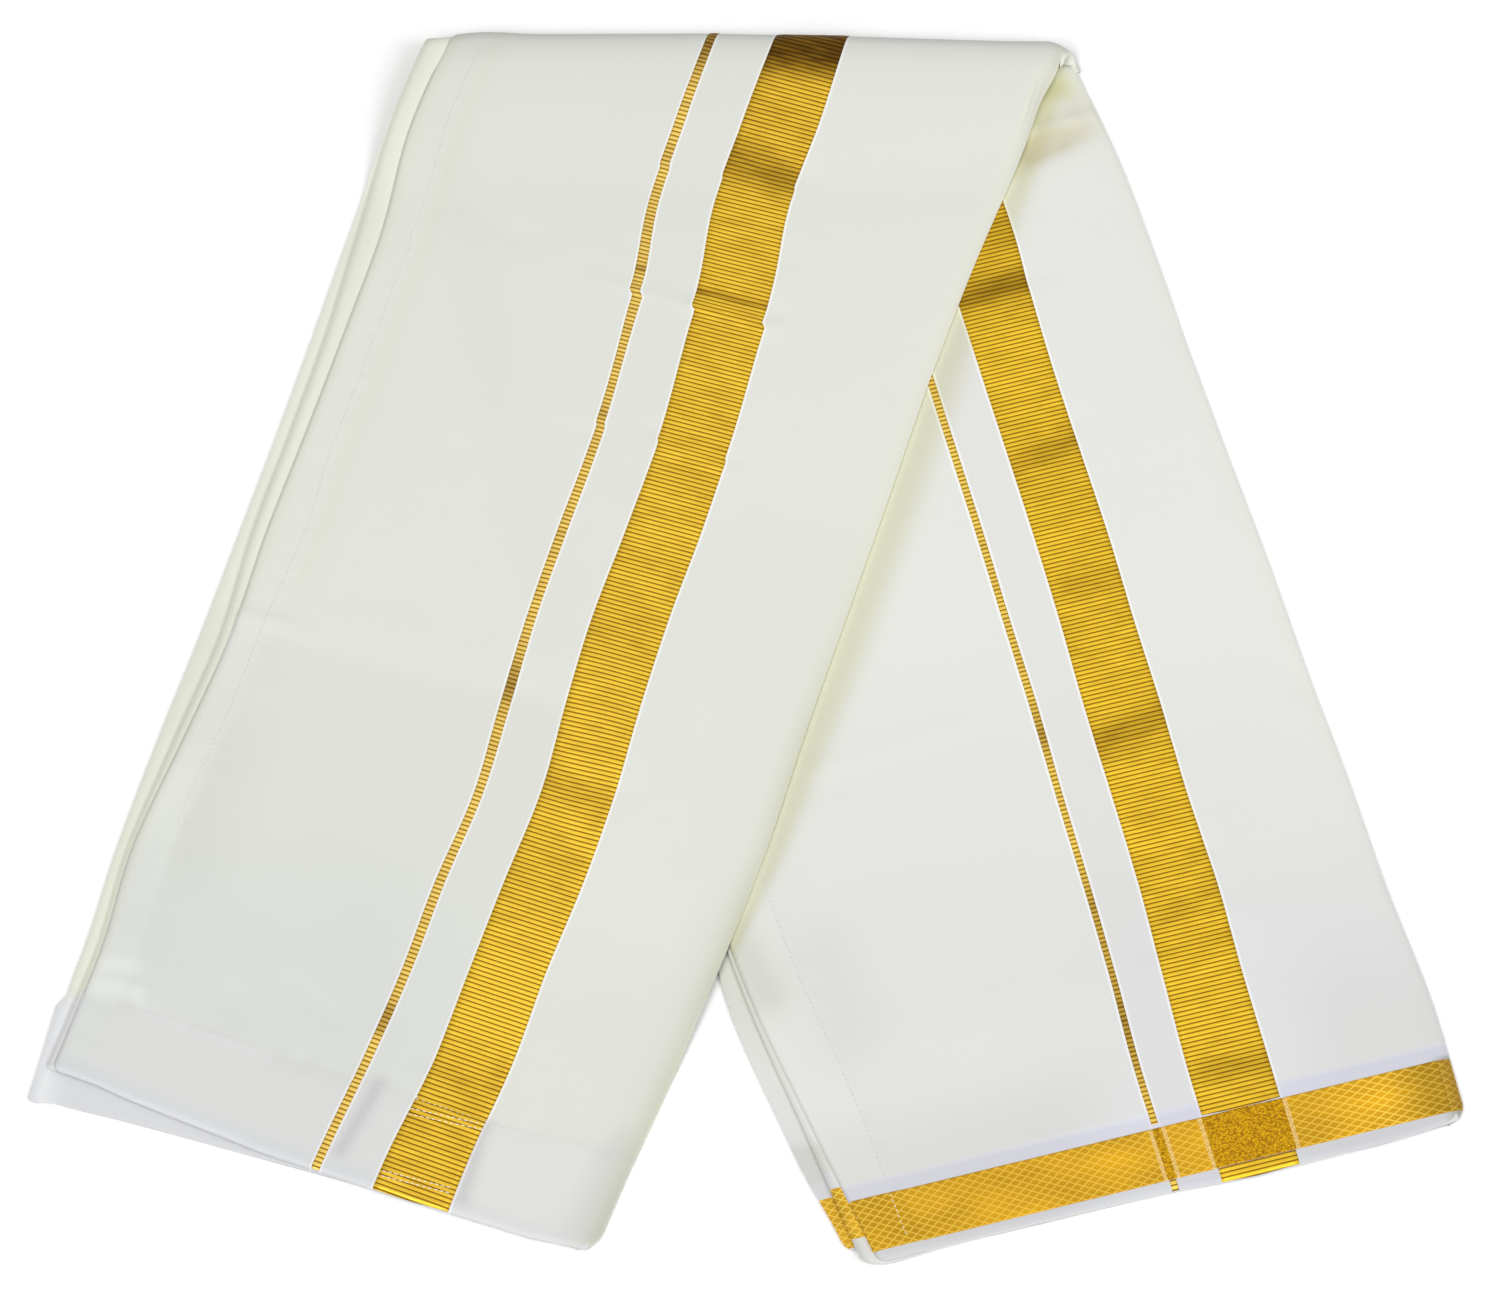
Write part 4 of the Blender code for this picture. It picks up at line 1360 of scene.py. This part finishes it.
def border(name, leg, kind, v_from, stop, folds):
    """A raised strip of ribs from v_from down to stop above the leg's edge."""
    mark, columns, material = kind
    u_from, u_to = leg.marks[mark], leg.marks[mark + 1]
    u_line = np.linspace(u_from, u_to, columns)
    last = end_v(leg, u_line) - stop
    rows = int((last.mean() - v_from) / RIB_PITCH) * ROWS_PER_RIB
    v = v_from + np.linspace(1.0, 0.0, rows + 1)[:, None] * (last[None, :] - v_from)
    u = np.broadcast_to(u_line[None, :], v.shape)
    x, y = leg.plan_at(u, v)
    rib = np.abs(np.sin(math.pi * v / RIB_PITCH)) ** RIB_ROUND
    inside = smooth(np.minimum(u - u_from, u_to - u) / 0.5)
    height = shown_height(leg, x, y) + RIB_LIFT + RIB_HEIGHT * rib * (0.25 + 0.75 * inside)
    height -= edge_fall(end_v(leg, u_line) - v)
    shade = zari_tone(u, v, folds, 1.35 if leg is front else 1.0)
    return add_cloth(name, leg.lay(x, y, height), (u, v), shade, material, "bordered_cotton", RIB_CLOTH)


FOLD_V = -1.03 * math.pi * FOLD_RADIUS
ABOVE_BAND = BAND_TOP + 0.4
TAIL_V = BACK_END - BAND_TAIL + 0.3
BORDERS = [
    # name, leg, which border, the V that it starts from, its stop above the leg's edge, painted fold
    # shade
    ("front_wide_border", front, WIDE, FOLD_V, 0.3, PAINTED_FOLD_SHADE_WIDE_FRONT),
    ("front_narrow_border", front, NARROW, FOLD_V, 0.3, PAINTED_FOLD_SHADE_NARROW_FRONT),
    ("back_wide_border", back, WIDE, 60.0, ABOVE_BAND, PAINTED_FOLD_SHADE_WIDE_BACK),
    ("back_narrow_border", back, NARROW, 60.0, ABOVE_BAND, PAINTED_FOLD_SHADE_NARROW_BACK),
    ("back_wide_border_tail", back, WIDE, TAIL_V, 0.4, []),
    ("back_narrow_border_tail", back, NARROW, TAIL_V, 0.4, []),
]
borders = [border(*row) for row in BORDERS]

# %% End band
LATTICE_RISE = 0.12
BAND_LIFT, BAND_CLOTH = 0.2, 0.2
BAND_SHADE = np.array([1.0, 0.95, 0.85])
BAND_PAINTED_LIGHT = np.array([
    # u, brightness: darker at the left end, a painted sheen near u = 280 and painted shade where the
    # band turns round the right roll
    (0, 0.86), (30, 0.86), (90, 0.98), (140, 1.02), (200, 1), (245, 0.99), (275, 1.12),
    (290, 1.1), (300, 0.9), (311, 0.68), (318, 0.66),
])


def lattice_height(u, v):
    """1 on the crossing lines of the end band and 0 inside its diamonds."""
    first = np.abs(np.sin(math.pi * (u / LATTICE_U + v / LATTICE_V)))
    other = np.abs(np.sin(math.pi * (u / LATTICE_U - v / LATTICE_V)))
    return np.clip(1.0 - 2.4 * np.minimum(first, other), 0.0, 1.0)


def end_band():
    """The gold band across the back leg, from near its left edge to the rolled right edge."""
    u_line = np.linspace(0.6, 318.0, 380)
    share = np.linspace(1.0, 0.0, 42)[:, None]
    v = BACK_END - BAND_TAIL - BAND_WIDTH * (1.0 - share) + 0.0 * u_line[None, :]
    u = np.broadcast_to(u_line[None, :], v.shape)
    x, y = back.plan_at(u, v)
    height = shown_height(back, x, y) + BAND_LIFT + LATTICE_RISE * lattice_height(u, v)
    shade = between(u, BAND_PAINTED_LIGHT)[..., None] * BAND_SHADE
    return add_cloth("back_end_band", back.lay(x, y, height), (u, v), shade,
                     band_zari, "bordered_cotton", BAND_CLOTH)


back_band = end_band()

# %% [markdown]
# A sewing stitch shows as a short rounded dash of thread, sunk into the cloth at both ends. One
# small capsule is worked out and repeated along each seam, with a little unevenness. Where the
# front leg's seams cross the wide border, the stitches stand on its ribs.

# %% Stitches
STITCH_LENGTH, STITCH_PITCH, STITCH_RADIUS = 2.5, 3.0, 0.22
ON_COTTON, ON_RIBS = 0.14, 0.42
CAPSULE_RINGS, CAPSULE_SIDES = 5, 6


def stitches(name, leg, path_x, path_y, seed, material, lift=ON_COTTON):
    """Capsules along a plan path: rings of radius r*sqrt(1 - s^2) on a short line, all at once."""
    distance = np.concatenate([[0.0], np.cumsum(np.hypot(np.diff(path_x), np.diff(path_y)))])
    count = int(distance[-1] / STITCH_PITCH)
    chance = np.random.default_rng(seed)
    middle = (np.arange(count) + 0.5) * STITCH_PITCH + chance.uniform(-0.2, 0.2, count)
    ring = np.linspace(-1.0, 1.0, CAPSULE_RINGS)
    along = middle[:, None] + 0.5 * STITCH_LENGTH * ring[None, :]
    x, y = np.interp(along, distance, path_x), np.interp(along, distance, path_y)
    height = shown_height(leg, x, y) + lift - 0.2 * ring[None, :] ** 4
    centre = leg.lay(x, y, height)
    direction = centre[:, -1] - centre[:, 0]
    direction /= np.linalg.norm(direction, axis=1, keepdims=True)
    aside = np.cross(direction, (0.0, 0.0, 1.0))
    up = np.cross(aside, direction)
    radius = STITCH_RADIUS * MM * np.sqrt(np.clip(1.03 - ring ** 2, 0.0, 1.0))
    angle = np.linspace(0.0, 2 * math.pi, CAPSULE_SIDES, endpoint=False)
    cosine, sine = np.cos(angle)[None, :, None], np.sin(angle)[None, :, None]
    around = cosine * aside[:, None, :] + sine * up[:, None, :]
    points = centre[:, :, None, :] + radius[None, :, None, None] * around[:, None, :, :]
    ring_start = np.arange(CAPSULE_RINGS - 1)[:, None] * CAPSULE_SIDES
    side = np.arange(CAPSULE_SIDES)[None, :]
    beside = (side + 1) % CAPSULE_SIDES
    quads = np.stack([ring_start + side, ring_start + CAPSULE_SIDES + side,
                      ring_start + CAPSULE_SIDES + beside, ring_start + beside], axis=-1).reshape(-1, 4)
    first_cap = np.arange(CAPSULE_SIDES)
    last_cap = first_cap[::-1] + (CAPSULE_RINGS - 1) * CAPSULE_SIDES
    faces = []
    for start in range(0, count * CAPSULE_RINGS * CAPSULE_SIDES, CAPSULE_RINGS * CAPSULE_SIDES):
        faces += (quads + start).tolist()
        faces += [(first_cap + start).tolist(), (last_cap + start).tolist()]
    mesh = bpy.data.meshes.new(name)
    mesh.from_pydata(points.reshape(-1, 3).tolist(), [], faces)
    mesh.shade_smooth()
    return add_piece(name, mesh, material, "hem_cotton", 0.0)


seam_v = np.linspace(18.0, 545.0, 200)
seam_x, seam_y = front.plan_at(np.full(200, FRONT_SIDE_HEM - 1.6), seam_v)
front_side_seam = stitches("front_side_stitches", front, seam_x, seam_y, 21, sewing_thread)
hem_x = np.linspace(-325.0, -62.0, 150)
hem_y = between(hem_x, END_HEM_LINE) - 1.8
front_end_seam = stitches("front_end_stitches", front, hem_x, hem_y, 22, sewing_thread)
BORDER_SEAMS = [
    # from_x, from_y, to_x, to_y
    (-168.5, -274.1, -130.5, -283.0), (-169.5, -277.1, -131.3, -285.8),
    (-181.5, -307.6, -145.7, -317.2), (-182.0, -310.3, -146.7, -319.9),
]
for number, (from_x, from_y, to_x, to_y) in enumerate(BORDER_SEAMS):
    seam_x, seam_y = np.linspace(from_x, to_x, 20), np.linspace(from_y, to_y, 20)
    stitches("wide_border_stitches_%d" % number, front, seam_x, seam_y,
                                 24 + number, pale_thread, ON_RIBS)
BACK_SEAMS = [
    # name, from V, to V, seed, material
    ("back_side_stitches", 330.0, BACK_END - BAND_TOP, 23, sewing_thread),
    ("back_band_stitches", BACK_END - BAND_TOP, 668.0, 28, pale_thread),
]
for name, from_v, to_v, seed, material in BACK_SEAMS:
    seam_v = np.linspace(from_v, to_v, 100)
    seam_x, seam_y = back.plan_at(BACK_SIDE_HEM - 1.2 - 4.0 * smooth((seam_v - 600.0) / 70.0), seam_v)
    stitches(name, back, seam_x, seam_y, seed, material)

# %% [markdown]

# %% [markdown]
# A plain pale table and soft studio light: a large lamp at the front left gives the creases and the
# rolled edges their soft shade, a weaker one fills from the front right, and the room adds the rest.

# %% Table and light
FLOOR_SIZE, FLOOR_HEIGHT = 6.0, -0.0002
LAMPS = [
    # name, place, size, energy; each lamp is turned towards the middle of the table
    ("key_light", (-2.4, -3.2, 5.4), 2.6, 196.0),
    ("fill_light", (3.4, -2.6, 4.6), 3.0, 132.0),
]
ROOM_STRENGTH = 0.54

floor_mesh = bpy.data.meshes.new("table_top")
half = FLOOR_SIZE / 2
corners = [(-half, -half), (half, -half), (half, half), (-half, half)]
floor_mesh.from_pydata([(*corner, FLOOR_HEIGHT) for corner in corners], [], [(0, 1, 2, 3)])
floor = bpy.data.objects.new("table_top", floor_mesh)
bpy.context.scene.collection.objects.link(floor)
floor_material, nodes, shader = new_material("pale_table", Roughness=0.9)
position = nodes.new("ShaderNodeTexCoord").outputs["Object"]
grain = nodes.noise(position, 90.0, 3.0)
nodes.put(shader["Base Color"], nodes.mix(grain, (0.96, 0.96, 0.96, 1.0), (0.98, 0.98, 0.98, 1.0)))
floor_mesh.materials.append(floor_material)
floor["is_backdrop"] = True

for name, (x, y, z), size, energy in LAMPS:
    lamp = bpy.data.lights.new(name, "AREA")
    lamp.size = size
    lamp.energy = energy
    holder = bpy.data.objects.new(name, lamp)
    holder.location = (x, y, z)
    holder.rotation_euler = (math.atan2(math.hypot(x, y), z), 0.0, math.atan2(-y, -x) - math.pi / 2)
    bpy.context.scene.collection.objects.link(holder)

room = bpy.data.worlds.new("studio")
room.use_nodes = True
sky = room.node_tree.nodes["Background"].inputs
sky["Color"].default_value = WHITE
sky["Strength"].default_value = ROOM_STRENGTH
bpy.context.scene.world = room
bpy.context.scene.view_settings.view_transform = "Standard"

# %% Sizes before and after
new_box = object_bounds()


def plain(box):
    return [[float(value) for value in corner] for corner in box]


{"cad": plain(cad_box), "visual": plain(new_box)}
print("visual box:", new_box)
